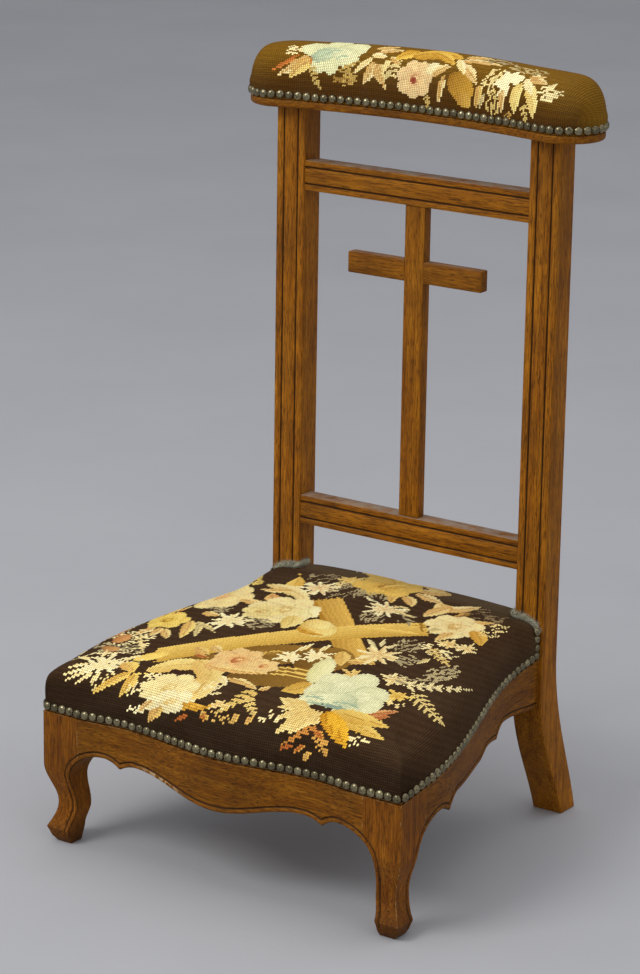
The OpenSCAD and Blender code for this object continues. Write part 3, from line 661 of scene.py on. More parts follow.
def rail_loft(name, stations, face, edge, to_edge, back, material, along):
    """A shaped rail. Stations run along it; face, back and edge give its outside, inside and lower edge."""
    order = np.argsort(edge[:, 0], kind="stable")
    on_edge = [to_edge(s) for s in stations]
    low = np.interp(on_edge, edge[order, 0], edge[order, 1])
    rows, dark = [], []
    for s, at, z0, g in zip(stations, on_edge, low, np.gradient(low, on_edge)):
        k = min(math.sqrt(1 + g * g), 2.0)
        f, b, top = face(s), back(s), face(s, True)
        zs = np.concatenate([z0 + BEAD_ROWS * k, np.linspace(z0 + 9.8 * k, top - 1.0, 5), [top - 0.4, top]])
        h = bead(edge_distance(np.full(len(zs), at), zs, edge))
        h[-1] -= 0.5
        inside = float(seat_z(b if along == "x" else s))
        row = [place(along, s, f, out, z) for out, z in zip(h, zs)]
        row += [place(along, s, f, -REBATE, z) for z in (top, top + BAND)]
        row += [place(along, s, b, 0.0, z) for z in (inside + BAND, (inside + z0) / 2, z0 + 0.6)]
        rows.append(row)
        # the bead and incised line take settled glaze and painted shade
        dark.append(list(hollow_glaze_shade(h)) + [0.0] * 5)
    ob = make(name, *loft(rows), material, 38)
    stain(ob, dark)
    stain(ob, [[float(0.2 < j < 6.5) for j in range(len(row))] for row in dark], "lip")
    outward(ob)
    return ob


def build_front_rail():
    xs = np.linspace(-JOINT_X + 0.08, JOINT_X - 0.08, 383)
    back = CORNER_Y + HOLLOW + 24

    def face(x, top=False):
        y = float(front_y(x))
        return float(seat_z(y)) if top else y

    ob = rail_loft("front_rail", xs, face, front_edge, lambda x: FRONT_HALF - abs(x),
                   lambda x: back, wood_front, "x")
    return finish_piece(ob, "show_wood", "front_seat_rail")


def build_side_rail(side):
    ys = np.linspace(OGEE_A + 0.08, POST_Y - 0.1, 318)

    def face(y, top=False):
        return float(seat_z(y)) if top else float(side_x(y))

    ob = rail_loft(side + "_side_rail", ys, face, side_edge, lambda y: y - CORNER_Y,
                   lambda y: float(side_x(y)) - 24, wood_sides[side], "y")
    if side == "left":
        for v in ob.data.vertices:
            v.co.x *= -1
        ob.data.flip_normals()
    return finish_piece(ob, "show_wood", side + "_seat_rail")


END_X, END_R, POST_MID = 184.0, 43.0, POST_Y + POST_DEPTH / 2
ARM_FRONT, ARM_HOLLOW, ARM_SWELL = POST_MID - END_R, 25.0, 12.0


def arm_front(x):
    return ARM_FRONT + ARM_HOLLOW * (1 - (x / END_X) ** 2)


def arm_back(x):
    return POST_MID + END_R + ARM_SWELL * (1 - (x / END_X) ** 2)


def arm_outline(inset, count=60, arc=24):
    xs = np.linspace(-END_X, END_X, count + 1)
    a = np.radians(np.linspace(-90, 90, arc + 1))[1:-1]
    r = END_R - inset
    right = [(END_X + r * math.cos(t), POST_MID + r * math.sin(t)) for t in a]
    left = [(-END_X - r * math.cos(t), POST_MID - r * math.sin(t)) for t in a]
    front = [(x, arm_front(x) + inset) for x in xs]
    return np.array(front + right + [(x, arm_back(x) - inset) for x in xs[::-1]] + left)


def build_board():
    levels = [(0, 3.2), (0.5, 1.9), (1.4, 0.8), (2.8, 0.1), (4, 0), (8, 0), (8.7, 0.25), (9, 0.9), (9.02, 3),
              (20, 3)]
    rings = [[(x, y, BOARD_Z + up) for x, y in arm_outline(inset)] for up, inset in levels]
    ob = make("armrest_base", *loft(rings), wood_board, 50)
    outward(ob)
    return finish_piece(ob, "show_wood", "armrest_board")


for s in SIDES:
    build_post(s)
    build_front_leg(s)
    build_side_rail(s)
build_front_rail()
build_board()

SPAN = POST_IN - 0.05
for name, lo, hi, key in (("upper_rail", up_lo, up_hi, "upper"), ("lower_rail", low_lo, low_hi, "lower")):
    sec = rail_section(lo[1], lo[2], hi[1] - lo[1], hi[2] - lo[2], (0.22, 0.78))
    finish_piece(bar_along_x(name, -SPAN, SPAN, sec, wood_rails[key]), "show_wood", key + "_back_rail")

ry, rz, back_y, rt = rear_lo[1], rear_lo[2], rear_hi[1], rear_hi[2]
step_z = float(seat_z(back_y))
rear_sec = [(ry, rz + 1), (ry + 0.3, rz + 0.3), (ry + 1, rz), (back_y - 1, rz), (back_y - 0.3, rz + 0.3),
            (back_y, rz + 1), (back_y, (rz + step_z) / 2), (back_y, step_z - 0.5), (back_y - 0.5, step_z),
            (back_y - REBATE, step_z), (back_y - REBATE, rt), (ry, rt), (ry, (rz + rt) / 2)]
finish_piece(bar_along_x("rear_rail", -SPAN, SPAN, rear_sec, wood_rails["rear"]), "show_wood", "rear_seat_rail")

cut_x = (cross_lo[0], cross_hi[0])
cut_z = (arm_lo[2], arm_hi[2])
foot, head = (*cross_lo[:2], low_hi[2]), (*cross_hi[:2], up_lo[2])
upright = halved_bar("cross_post", foot, head, "z", cut_z, True, wood_upright)
finish_piece(upright, "show_wood", "cross_upright")
crossbar = halved_bar("cross_bar", arm_lo, arm_hi, "x", cut_x, False, wood_arm, 1.6)
finish_piece(crossbar, "show_wood", "cross_arm")

# ---------------------------------------------------------------- domed nails


def dome(verts, faces, at, normal, radius, height, spin, rng, segments=14, rings=5):
    """Adds one domed head: at is the middle of its base, normal points out of the cloth; no two are alike."""
    n = np.array(normal, float)
    n /= np.linalg.norm(n)
    side = np.cross(n, (0, 0, 1))
    side /= np.linalg.norm(side)
    up = np.cross(side, n)
    base = len(verts)
    k = 1 + 0.05 * (rng.random() - 0.5)
    tilt = 0.10 * (rng.random(2) - 0.5)
    for i in range(rings):
        a = math.pi / 2 * i / rings
        r, h = radius * k * math.cos(a), height * k * math.sin(a)
        for j in range(segments):
            t = 2 * math.pi * j / segments + spin
            dx, dz = r * math.cos(t), r * math.sin(t)
            verts.append(at + side * dx + up * dz + n * (h + tilt[0] * dx + tilt[1] * dz + 0.15))
    verts.append(at + n * (height * k + 0.15))
    verts.append(at - n * 0.8)
    faces += wrapped(base, rings, segments)
    top, low = base + rings * segments, base + rings * segments + 1
    for j in range(segments):
        m = (j + 1) % segments
        faces.append((base + (rings - 1) * segments + j, base + (rings - 1) * segments + m, top))
        faces.append((base + m, base + j, low))


HEAD_R, HEAD_H, NAIL_RISE, PITCH, OUTSET = 5.2, 3.6, 6.9, 10.4, 0.3


def nail_object(name, places, seed, *nodes):
    rng = np.random.default_rng(seed)
    verts, faces = [], []
    for at, normal in places:
        at = np.array(at, float)
        at[2] += rng.normal(0, 0.22)
        dome(verts, faces, at, normal, HEAD_R, HEAD_H, rng.random() * 6, rng)
    ob = make(name, verts, faces, brass, 70)
    outward(ob)
    return finish_piece(ob, "antique_brass", *nodes)


def front_nail_places():
    count = math.floor((2 * FRONT_HALF - 10) / PITCH)
    for i in range(count + 1):
        x = (i - count / 2) * (2 * FRONT_HALF - 12) / count
        slope = 0 if abs(x) > JOINT_X - 1 else float(front_y(x + 1) - front_y(x - 1)) / 2
        y = float(front_y(x)) + OUTSET
        yield (x, y, float(seat_z(y)) + NAIL_RISE), (slope, -1, 0)


def side_nail_places(side):
    run = SEAT_DEPTH - 12
    count = math.floor(run * 1.03 / PITCH)
    for i in range(count + 1):
        y = CORNER_Y + 7 + i * run / count
        slope = float(side_x(y + 1) - side_x(y - 1)) / 2
        yield (side * (float(side_x(y)) - OUTSET), y, float(seat_z(y)) + NAIL_RISE), (side, -slope, 0)
    for i in (1, 2, 3):
        y = POST_Y - 5
        yield (side * (BACK_HALF - OUTSET), y, float(seat_z(y)) + NAIL_RISE + i * PITCH * 0.92), (side, 0, 0)


ARM_NAIL_Z = BOARD_Z + 15.0


def arm_nail_places():
    run = 2 * END_X * 0.97
    count = math.floor(run / PITCH)
    for i in range(count + 1):
        x = (i / count - 0.5) * run
        gf, gb = -2 * ARM_HOLLOW * x / END_X ** 2, -2 * ARM_SWELL * x / END_X ** 2
        yield (x, arm_front(x) + OUTSET, ARM_NAIL_Z), (gf, -1, 0)
        yield (x, arm_back(x) - OUTSET, ARM_NAIL_Z), (-gb, 1, 0)
    ends = math.floor(math.pi * END_R * 0.94 / PITCH)
    for side in (1, -1):
        for i in range(ends + 1):
            a = math.radians(mix(-84, 84, i / ends))
            r = END_R - OUTSET
            yield ((side * (END_X + r * math.cos(a)), POST_MID + r * math.sin(a), ARM_NAIL_Z),
                   (side * math.cos(a), math.sin(a), 0))


nail_object("nails_front", front_nail_places(), 11, "front_seat_nails")
nail_object("nails_right", side_nail_places(1), 12, "right_seat_nails")
nail_object("nails_left", side_nail_places(-1), 13, "left_seat_nails")
nail_object("nails_armrest", arm_nail_places(), 14, "armrest_nails")

# ---------------------------------------------------------------- needlework painting


def srgb(r, g, b):
    c = np.array([r, g, b]) / 255
    return np.where(c <= 0.04045, c / 12.92, ((c + 0.055) / 1.055) ** 2.4)


CREAM, WHITE, PALE = srgb(236, 214, 160), srgb(246, 236, 204), srgb(243, 226, 182)
GOLD, DEEP, OCHRE = srgb(222, 178, 92), srgb(196, 142, 44), srgb(150, 108, 42)
YELLOW = srgb(238, 208, 122)
RUST, TAN, OLIVE = srgb(178, 98, 44), srgb(206, 160, 96), srgb(120, 88, 34)
GREY, DARK = srgb(176, 160, 128), srgb(60, 38, 30)


def shaded(dark, light, amount):
    return dark[None] + (light - dark)[None] * amount[:, None]


def yellowed(colour):
    """Old wool: the light colours have turned yellow, the dark ones have kept."""
    light = smooth(0.10, 0.45, colour[:, 1])[:, None]
    return colour * (1 + light * np.array((0.10, 0.08, -0.10)))


class Canvas:
    """Stitches at (x, y) in millimetres on the cloth, each with one colour of wool."""

    def __init__(self, x, y, ground, seed):
        self.x, self.y = x, y
        self.colour = np.array(ground, float)
        self.rng = np.random.default_rng(seed)

    def put(self, mask, colour):
        self.colour[mask] = colour if np.ndim(colour) == 1 else colour[mask]

    def local(self, cx, cy, turn):
        c, s = math.cos(math.radians(turn)), math.sin(math.radians(turn))
        dx, dy = self.x - cx, self.y - cy
        return dx * c + dy * s, -dx * s + dy * c

    def leaf(self, x0, y0, x1, y1, w, light, dark=None, bow=0.0, tooth=0.0, vein=True):
        """Leaf from its base to its tip, optionally bowed sideways and toothed."""
        dark = light * 0.62 if dark is None else dark
        length = math.hypot(x1 - x0, y1 - y0)
        u, v = self.local(x0, y0, math.degrees(math.atan2(y1 - y0, x1 - x0)))
        t = u / length
        inside = (t > 0) & (t < 1)
        tc = np.clip(t, 0, 1)
        v = v - bow * np.sin(math.pi * tc)
        half = 0.5 * w * np.sin(math.pi * tc ** 0.75) ** 0.8
        if tooth:
            half = half * (1 - tooth * ((tc * length / 6.0) % 1))
        mask = inside & (np.abs(v) < half)
        shade = np.clip(0.5 + v / np.maximum(w, 1) * 1.1 + 0.25 * (tc - 0.5), 0, 1)
        col = shaded(dark, light, shade)
        if vein:
            col[(np.abs(v) < 0.9) & (tc < 0.85)] = dark * 0.9
        self.put(mask, col)

    def petal(self, cx, cy, rx, ry, turn, light, dark, rim=0.8):
        u, v = self.local(cx, cy, turn)
        rho = np.sqrt((u / rx) ** 2 + (v / ry) ** 2)
        shade = np.clip(0.5 + 0.5 * u / rx, 0, 1) ** 0.8
        col = shaded(dark, light, shade)
        edge = rho > rim
        col[edge] = col[edge] * 0.90
        self.put(rho < 1, col)

    def rose(self, cx, cy, r, light, dark, heart, squash=0.85, turn=0.0, petals=6):
        k = squash
        for ring, count, size in ((0.58, petals, 0.46), (0.34, petals - 1, 0.36)):
            for i in range(count):
                a = turn + 360 / count * (i + (0.5 if ring < 0.5 else 0))
                ca, sa = math.cos(math.radians(a)), math.sin(math.radians(a))
                tone = 0.92 + 0.12 * self.rng.random()
                self.petal(cx + r * ring * ca, cy + r * ring * sa * k, r * size, r * size * 0.86,
                           math.degrees(math.atan2(sa * k, ca)), light * tone, dark * tone)
        self.petal(cx, cy, r * 0.27, r * 0.24 * k, turn + 40, dark, heart, 0.7)
        self.petal(cx + r * 0.05, cy + r * 0.04, r * 0.11, r * 0.1 * k, turn, light, dark, 1.1)

    def star(self, cx, cy, r, rays, light, dark, squash=0.85, turn=0.0):
        """Ragged flower of narrow petals, shaded towards its heart."""
        u, v = self.local(cx, cy, turn)
        v = v / squash
        rho, th = np.hypot(u, v), np.arctan2(v, u)
        p = self.rng.random(4) * 2 * math.pi
        reach = (0.66 + 0.20 * np.sin(th * rays + p[0]) + 0.14 * np.sin(th * (rays * 2 - 3) + p[1])
                 + 0.10 * np.sin(th * 3 + p[2]))
        shade = np.clip(0.35 + 0.75 * rho / r + 0.30 * np.sin(th * (rays - 1) + p[3]), 0, 1)
        self.put(rho < reach * r, shaded(dark, light, shade))

    def dot(self, cx, cy, r, colour):
        self.put((self.x - cx) ** 2 + (self.y - cy) ** 2 < r * r, colour)

    def stroke(self, x0, y0, x1, y1, w, colour, bow=0.0):
        length = max(math.hypot(x1 - x0, y1 - y0), 0.1)
        u, v = self.local(x0, y0, math.degrees(math.atan2(y1 - y0, x1 - x0)))
        t = u / length
        v = v - bow * np.sin(math.pi * np.clip(t, 0, 1))
        self.put((t > 0) & (t < 1) & (np.abs(v) < w / 2), colour)

    def fern(self, x0, y0, x1, y1, pairs, reach, w, colour):
        """A stem with pairs of leaflets that lean out from it by 50 degrees."""
        a = math.atan2(y1 - y0, x1 - x0)
        self.stroke(x0, y0, x1, y1, 1.7, colour)
        for i in range(pairs):
            t = (i + 0.6) / (pairs + 0.3)
            bx, by = x0 + (x1 - x0) * t, y0 + (y1 - y0) * t
            size = reach * (1.05 - 0.55 * t)
            for s in (-1, 1):
                b = a + s * math.radians(50)
                self.leaf(bx, by, bx + size * math.cos(b), by + size * math.sin(b), w, colour, colour * 0.8,
                          vein=False)
        end = 0.8 * reach
        self.leaf(x1, y1, x1 + end * math.cos(a), y1 + end * math.sin(a), w, colour, vein=False)

    def burr(self, cx, cy, rx, ry, count, length, colour, turn=None):
        """Loose short stitches round a place, as the fine twigs between the flowers."""
        for _ in range(count):
            a, q = self.rng.random() * 2 * math.pi, math.sqrt(self.rng.random())
            px, py = cx + rx * q * math.cos(a), cy + ry * q * math.sin(a)
            t = a if turn is None else math.radians(turn + self.rng.normal(0, 16))
            n = length * (0.5 + self.rng.random())
            tone = colour * (0.75 + 0.4 * self.rng.random())
            self.stroke(px, py, px + n * math.cos(t), py + n * math.sin(t), 1.9, tone)

    def beam(self, x0, y0, x1, y1, w, light, dark):
        """A squared timber seen from above: bright upper half, darker lower edge, long grain."""
        length = math.hypot(x1 - x0, y1 - y0)
        u, v = self.local(x0, y0, math.degrees(math.atan2(y1 - y0, x1 - x0)))
        grain = 0.5 + 0.5 * np.sin(v * 1.1 + 1.6 * np.sin(u * 0.05) + 0.7 * np.sin(u * 0.19))
        shade = np.clip(0.55 + v / w * 0.9, 0, 1) * 0.75 + 0.25 * grain
        col = shaded(dark, light, shade)
        ragged = 2.0 * np.sin(v * 0.9) + 1.2 * np.sin(v * 2.1)
        self.put((u > ragged) & (u < length + ragged) & (np.abs(v) < w / 2), col)


def paint_seat(c):
    """Two crossed timbers lying among roses, lilies and leaves."""
    # timbers
    c.beam(-58, 292, 72, 160, 34, srgb(226, 184, 100), srgb(178, 130, 46))
    c.stroke(-68, 279, 8, 203, 5, srgb(176, 126, 40))
    c.beam(-146, 87, 88, 277, 36, srgb(236, 202, 118), srgb(192, 146, 56))
    c.petal(-150, 84, 9, 20, -52, srgb(243, 214, 128), srgb(232, 196, 104), 0.9)
    c.stroke(72, 287, 88, 268, 3, srgb(160, 116, 40))
    c.stroke(64, 272, 84, 288, 2, srgb(176, 128, 44))
    c.leaf(20, 236, 92, 262, 10, srgb(240, 208, 124), srgb(220, 178, 88), vein=False)
    # ochre shadow under the timber
    for x, y, rx, ry, t in ((-30, 128, 62, 26, 34), (10, 92, 52, 22, 20), (36, 150, 34, 30, 40),
                            (-80, 92, 40, 18, 30)):
        c.petal(x, y, rx, ry, t, srgb(152, 112, 46), srgb(112, 78, 30), 1.1)
    # back left: yellow leaf, long cream leaves, lily and twigs
    c.burr(-88, 345, 40, 24, 46, 9, GREY, 62)
    c.leaf(-170, 300, -186, 332, 22, srgb(238, 210, 130), bow=3)
    c.leaf(-160, 306, -196, 312, 20, srgb(236, 206, 126), bow=-3)
    c.leaf(-118, 296, -134, 346, 22, srgb(240, 206, 120), srgb(214, 168, 78), bow=-3)
    c.leaf(-152, 308, -66, 268, 26, PALE, srgb(218, 190, 128), bow=9, tooth=0.2)
    c.leaf(-110, 300, -150, 290, 14, CREAM, TAN, bow=3)
    c.burr(-60, 318, 20, 26, 34, 8, GREY, 45)
    c.star(-88, 320, 30, 9, WHITE, TAN, 0.9, 12)
    c.fern(-78, 336, -66, 362, 4, 12, 4, CREAM)
    c.star(-74, 362, 19, 7, srgb(234, 206, 138), GOLD, 0.8, 30)
    # golden rose at the back
    c.leaf(12, 346, 38, 322, 15, CREAM, TAN, bow=3)
    c.leaf(-4, 346, 12, 318, 12, srgb(232, 198, 120), TAN)
    c.leaf(18, 362, 62, 350, 20, PALE, TAN, tooth=0.3)
    c.leaf(14, 372, 56, 386, 18, CREAM, TAN, bow=-3)
    c.rose(-24, 364, 42, srgb(232, 196, 110), srgb(206, 158, 72), srgb(178, 122, 44), 0.72, 20)
    c.leaf(-26, 350, 4, 378, 14, srgb(238, 206, 126), srgb(208, 160, 72), bow=5)
    c.burr(-26, 330, 26, 12, 30, 9, GREY, -60)
    # flower over the notch of the timbers
    c.star(18, 298, 31, 9, WHITE, TAN, 0.8, 5)
    c.leaf(28, 300, 58, 296, 6, CREAM, vein=False)
    c.leaf(20, 312, 44, 310, 5, CREAM, bow=4, vein=False)
    c.leaf(-2, 312, -26, 324, 5, WHITE, bow=3, vein=False)
    c.burr(16, 274, 18, 16, 30, 9, GREY, -75)
    c.burr(50, 288, 16, 14, 14, 8, GREY, -30)
    # bouquet at the back right
    c.burr(112, 345, 34, 20, 40, 10, srgb(150, 128, 96), 35)
    c.leaf(62, 330, 100, 372, 20, PALE, TAN, bow=-5)
    c.leaf(76, 328, 54, 352, 22, CREAM, TAN, bow=-3)
    c.leaf(72, 344, 64, 304, 22, CREAM, TAN, tooth=0.2)
    c.leaf(110, 318, 138, 340, 12, srgb(222, 190, 126), TAN)
    c.leaf(96, 322, 100, 348, 12, TAN, OLIVE)
    c.rose(108, 302, 34, PALE, srgb(226, 196, 138), TAN, 0.88, 40, 7)
    c.leaf(130, 306, 160, 276, 20, srgb(228, 184, 96), srgb(200, 146, 60), bow=3)
    c.leaf(116, 286, 112, 256, 17, CREAM, TAN, tooth=0.3)
    c.leaf(100, 286, 90, 272, 10, CREAM)
    c.star(150, 260, 17, 7, PALE, TAN, 0.9)
    c.star(128, 258, 15, 7, CREAM, TAN, 0.9, 20)
    c.burr(148, 316, 12, 22, 26, 8, CREAM, 60)
    c.burr(126, 236, 24, 14, 30, 8, PALE, 20)
    c.fern(116, 238, 152, 216, 5, 12, 4.2, srgb(222, 192, 130))
    c.leaf(132, 214, 128, 196, 8, CREAM, vein=False)
    c.burr(160, 190, 16, 26, 46, 8, GREY, 62)
    # cream roses at the left
    c.burr(-164, 220, 20, 14, 40, 8, GREY, 20)
    c.rose(-180, 254, 40, srgb(240, 222, 172), srgb(224, 192, 136), srgb(216, 160, 112), 0.98, 10, 7)
    c.petal(-182, 252, 12, 9, 30, srgb(230, 188, 140), srgb(214, 150, 104), 0.8)
    c.rose(-208, 226, 22, srgb(238, 216, 160), srgb(218, 184, 124), TAN, 1, 0)
    c.leaf(-150, 252, -112, 248, 16, CREAM, TAN, tooth=0.2)
    c.leaf(-106, 262, -128, 282, 18, srgb(226, 186, 128), srgb(206, 152, 96), bow=3)
    c.leaf(-100, 258, -116, 238, 14, srgb(224, 176, 116), RUST)
    # rose on the crossing
    c.rose(-84, 242, 44, PALE, srgb(226, 202, 142), TAN, 0.82, 25, 7)
    c.rose(-104, 228, 24, srgb(238, 220, 164), srgb(216, 188, 124), TAN, 0.8)
    c.leaf(-60, 262, -36, 238, 26, WHITE, srgb(228, 214, 160), bow=-5)
    c.leaf(-62, 232, -52, 196, 26, srgb(238, 220, 160), srgb(214, 184, 110), bow=4)
    c.petal(-16, 214, 26, 19, -28, srgb(240, 218, 150), srgb(216, 176, 92))
    c.petal(-22, 224, 18, 12, -10, srgb(244, 226, 164), srgb(226, 192, 116))
    c.leaf(-40, 206, 2, 200, 11, srgb(220, 178, 92), DEEP, bow=-3)
    c.burr(-92, 200, 22, 12, 40, 8, GREY, -20)
    c.star(-122, 192, 29, 9, WHITE, srgb(226, 200, 140), 0.9, 8)
    # yellow rose, left
    c.star(-206, 200, 17, 7, srgb(226, 178, 116), RUST, 0.9)
    c.leaf(-168, 204, -142, 200, 13, CREAM, TAN)
    c.rose(-196, 173, 28, srgb(240, 212, 124), srgb(208, 168, 66), srgb(170, 126, 40), 0.7, 15)
    c.leaf(-166, 178, -148, 134, 17, srgb(240, 216, 142), TAN, bow=2)
    c.leaf(-150, 176, -134, 142, 9, CREAM)
    c.leaf(-160, 176, -118, 158, 8, CREAM, bow=3)
    c.leaf(-196, 150, -208, 128, 13, PALE, TAN)
    c.leaf(-188, 152, -186, 128, 12, CREAM, TAN)
    c.leaf(-182, 150, -162, 128, 12, CREAM, TAN)
    c.leaf(-216, 172, -228, 150, 12, srgb(238, 210, 128), TAN)
    # twigs down the left side
    c.burr(-206, 116, 30, 26, 60, 8, PALE, -30)
    c.burr(-206, 92, 34, 16, 46, 10, GREY, 8)
    c.petal(-216, 116, 10, 12, 0, srgb(214, 156, 100), srgb(176, 112, 62))
    c.petal(-212, 90, 12, 7, 0, srgb(206, 156, 100), srgb(170, 112, 62))
    c.fern(-200, 128, -172, 96, 4, 9, 4, CREAM)
    # lily at the front left
    c.burr(-190, 72, 34, 14, 34, 9, PALE, 20)
    for x0, y0, x1, y1, w in ((-214, 52, -234, 38, 9), (-208, 44, -228, 16, 9), (-202, 40, -214, 6, 9),
                              (-194, 36, -196, 0, 9), (-184, 34, -178, 6, 8), (-216, 60, -240, 62, 7),
                              (-206, 70, -214, 88, 6), (-176, 66, -166, 84, 6)):
        c.leaf(x0, y0, x1, y1, w, PALE, CREAM, vein=False)
    c.star(-194, 52, 35, 11, WHITE, srgb(226, 206, 150), 0.78, 14)
    c.burr(-166, 20, 14, 22, 26, 8, CREAM, -60)
    c.leaf(-172, 62, -146, 44, 20, YELLOW, TAN, bow=3)
    c.leaf(-148, 46, -160, -14, 18, srgb(238, 206, 122), srgb(206, 162, 80), bow=-3)
    c.leaf(-142, 44, -124, -14, 15, srgb(238, 206, 122), srgb(206, 162, 80), bow=2)
    c.stroke(-142, 42, -126, 46, 3, YELLOW)
    # scroll and large flower, front
    c.burr(-118, 20, 14, 30, 44, 8, PALE, 50)
    c.leaf(-134, 52, -62, 88, 30, srgb(238, 216, 150), srgb(218, 182, 108), bow=8)
    c.leaf(-92, 92, -44, 44, 34, srgb(238, 214, 148), srgb(220, 180, 108), bow=9)
    c.leaf(-58, 70, -48, -2, 36, srgb(236, 212, 148), srgb(214, 176, 106), bow=5)
    c.petal(-88, 56, 20, 7, -20, DARK, DARK, 2)
    c.rose(-82, 26, 34, srgb(242, 226, 178), srgb(228, 204, 150), srgb(216, 186, 120), 0.95, 30, 7)
    c.rose(-62, 0, 28, WHITE, srgb(236, 214, 160), srgb(222, 188, 122), 0.9, 10, 6)
    c.leaf(-84, -6, -80, -34, 14, PALE, TAN, tooth=0.2)
    c.leaf(-66, -14, -56, -50, 16, srgb(234, 200, 122), TAN, tooth=0.2)
    c.burr(-88, -24, 14, 10, 18, 7, WHITE, -80)
    c.leaf(-46, 2, -18, -4, 16, srgb(222, 168, 66), DEEP, bow=3)
    c.leaf(-40, -8, -8, 12, 12, srgb(226, 176, 80), DEEP)
    # pink roses under the timber
    c.leaf(-114, 118, -88, 108, 14, srgb(232, 202, 128), TAN)
    c.leaf(-98, 128, -78, 116, 12, CREAM, TAN)
    c.leaf(-104, 104, -84, 100, 9, srgb(222, 176, 108), RUST)
    c.leaf(-30, 134, -12, 146, 10, srgb(220, 178, 96), OCHRE)
    c.leaf(-36, 140, -34, 122, 12, srgb(214, 170, 92), OCHRE)
    c.rose(-50, 108, 31, srgb(238, 204, 150), srgb(222, 158, 104), srgb(182, 96, 50), 0.80, 10, 7)
    c.petal(-64, 88, 14, 9, 10, srgb(242, 214, 160), srgb(228, 172, 116), 0.7)
    c.rose(-14, 107, 18, srgb(240, 212, 158), srgb(224, 166, 110), srgb(190, 116, 64), 0.85)
    c.leaf(-76, 84, 4, 96, 11, srgb(240, 214, 152), srgb(222, 172, 108), bow=-4)
    for y in (96, 104, 112):
        c.stroke(4, y, 58, y + 6, 3.2, srgb(232, 196, 112), bow=4)
        c.stroke(6, y + 4, 56, y + 9, 1.8, srgb(150, 108, 40), bow=4)
    c.leaf(58, 98, 36, 70, 24, srgb(226, 188, 100), srgb(202, 156, 70), bow=3)
    c.leaf(-34, 68, 12, 60, 11, CREAM, TAN, bow=3)
    c.leaf(-44, 70, -26, 54, 10, WHITE, CREAM)
    # white stars, middle
    c.star(-2, 138, 20, 8, WHITE, CREAM, 0.8)
    c.star(24, 154, 22, 8, WHITE, CREAM, 0.75, 15)
    c.leaf(-2, 154, 4, 178, 8, WHITE, CREAM)
    c.leaf(20, 166, 22, 184, 8, WHITE, CREAM)
    c.petal(48, 128, 13, 29, 14, srgb(240, 236, 200), srgb(214, 208, 156), 0.86)
    c.leaf(42, 176, 60, 146, 18, srgb(232, 200, 128), srgb(212, 168, 92), bow=2)
    c.leaf(62, 176, 92, 168, 12, srgb(228, 190, 112), TAN)
    c.leaf(60, 160, 84, 168, 11, srgb(236, 204, 132), TAN)
    # star flower right of the crossing
    c.burr(92, 224, 14, 16, 34, 8, GREY, 65)
    c.burr(108, 196, 14, 14, 26, 8, GREY, 10)
    c.star(80, 190, 29, 8, PALE, TAN, 0.95, 10)
    for x0, y0, x1, y1 in ((68, 204, 48, 218), (72, 208, 64, 228), (80, 208, 84, 222)):
        c.leaf(x0, y0, x1, y1, 6, PALE, vein=False)
    # sprigs on the right
    c.star(128, 152, 21, 7, PALE, TAN, 0.7, 5)
    c.burr(144, 158, 30, 10, 36, 8, GREY, 15)
    c.fern(140, 146, 200, 176, 6, 15, 5, PALE)
    c.fern(158, 140, 214, 108, 6, 15, 4.6, srgb(234, 208, 146))
    c.star(150, 124, 18, 6, YELLOW, DEEP, 0.8, 20)
    c.burr(150, 112, 14, 12, 16, 7, CREAM, -60)
    c.burr(162, 186, 12, 20, 30, 8, GREY, 55)
    c.leaf(84, 140, 76, 120, 13, CREAM, TAN)
    c.star(86, 134, 22, 7, srgb(232, 204, 134), TAN, 0.8)
    # pale blue-green rose
    c.leaf(142, 74, 168, 100, 12, srgb(222, 172, 122), RUST)
    c.leaf(146, 68, 166, 86, 10, srgb(208, 140, 94), RUST)
    for x, y, rx, ry, t in ((80, 112, 24, 19, 150), (102, 122, 26, 19, 90), (124, 108, 22, 19, 30),
                            (132, 90, 17, 20, -20), (74, 90, 18, 20, 190), (76, 74, 17, 14, 230),
                            (118, 74, 22, 15, -60)):
        c.petal(x, y, rx, ry, t, srgb(232, 230, 200), srgb(206, 210, 180), 0.82)
    for x, y, rx, ry, t in ((94, 104, 20, 15, 120), (114, 98, 19, 14, 40), (98, 84, 24, 14, 200)):
        c.petal(x, y, rx, ry, t, srgb(236, 234, 206), srgb(196, 204, 178), 0.84)
    for x0, x1, y in ((70, 100, 62), (92, 130, 68), (100, 128, 78), (66, 88, 72)):
        c.stroke(x0, y, x1, y + 3, 3.2, srgb(166, 184, 168), bow=3)
        c.stroke(x0 + 2, y + 5, x1 - 2, y + 7, 1.8, srgb(188, 202, 182), bow=3)
    c.petal(108, 70, 12, 4, 8, srgb(150, 172, 162), srgb(136, 156, 148), 2)
    # cream fan and golden fan leaves below it
    for x0, y0, x1, y1, w in ((84, 52, 44, 58, 22), (84, 56, 52, 40, 20), (88, 54, 66, 20, 20),
                              (92, 54, 82, -8, 22), (96, 54, 96, 0, 22), (98, 54, 108, 28, 20)):
        c.leaf(x0, y0, x1, y1, w, srgb(240, 222, 164), srgb(218, 186, 122), tooth=0.15)
    for x0, y0, x1, y1, w, g in ((108, 60, 186, 45, 26, 1), (108, 62, 178, 68, 26, 1), (106, 60, 162, 8, 26, 0),
                                 (104, 58, 142, 16, 20, 0), (104, 56, 122, 32, 16, 0)):
        fan = (srgb(234, 204, 122), srgb(206, 160, 70)) if g else (srgb(236, 184, 60), srgb(190, 128, 28))
        c.leaf(x0, y0, x1, y1, w, *fan, tooth=0.2)
    c.burr(160, 26, 12, 14, 24, 7, PALE, 40)
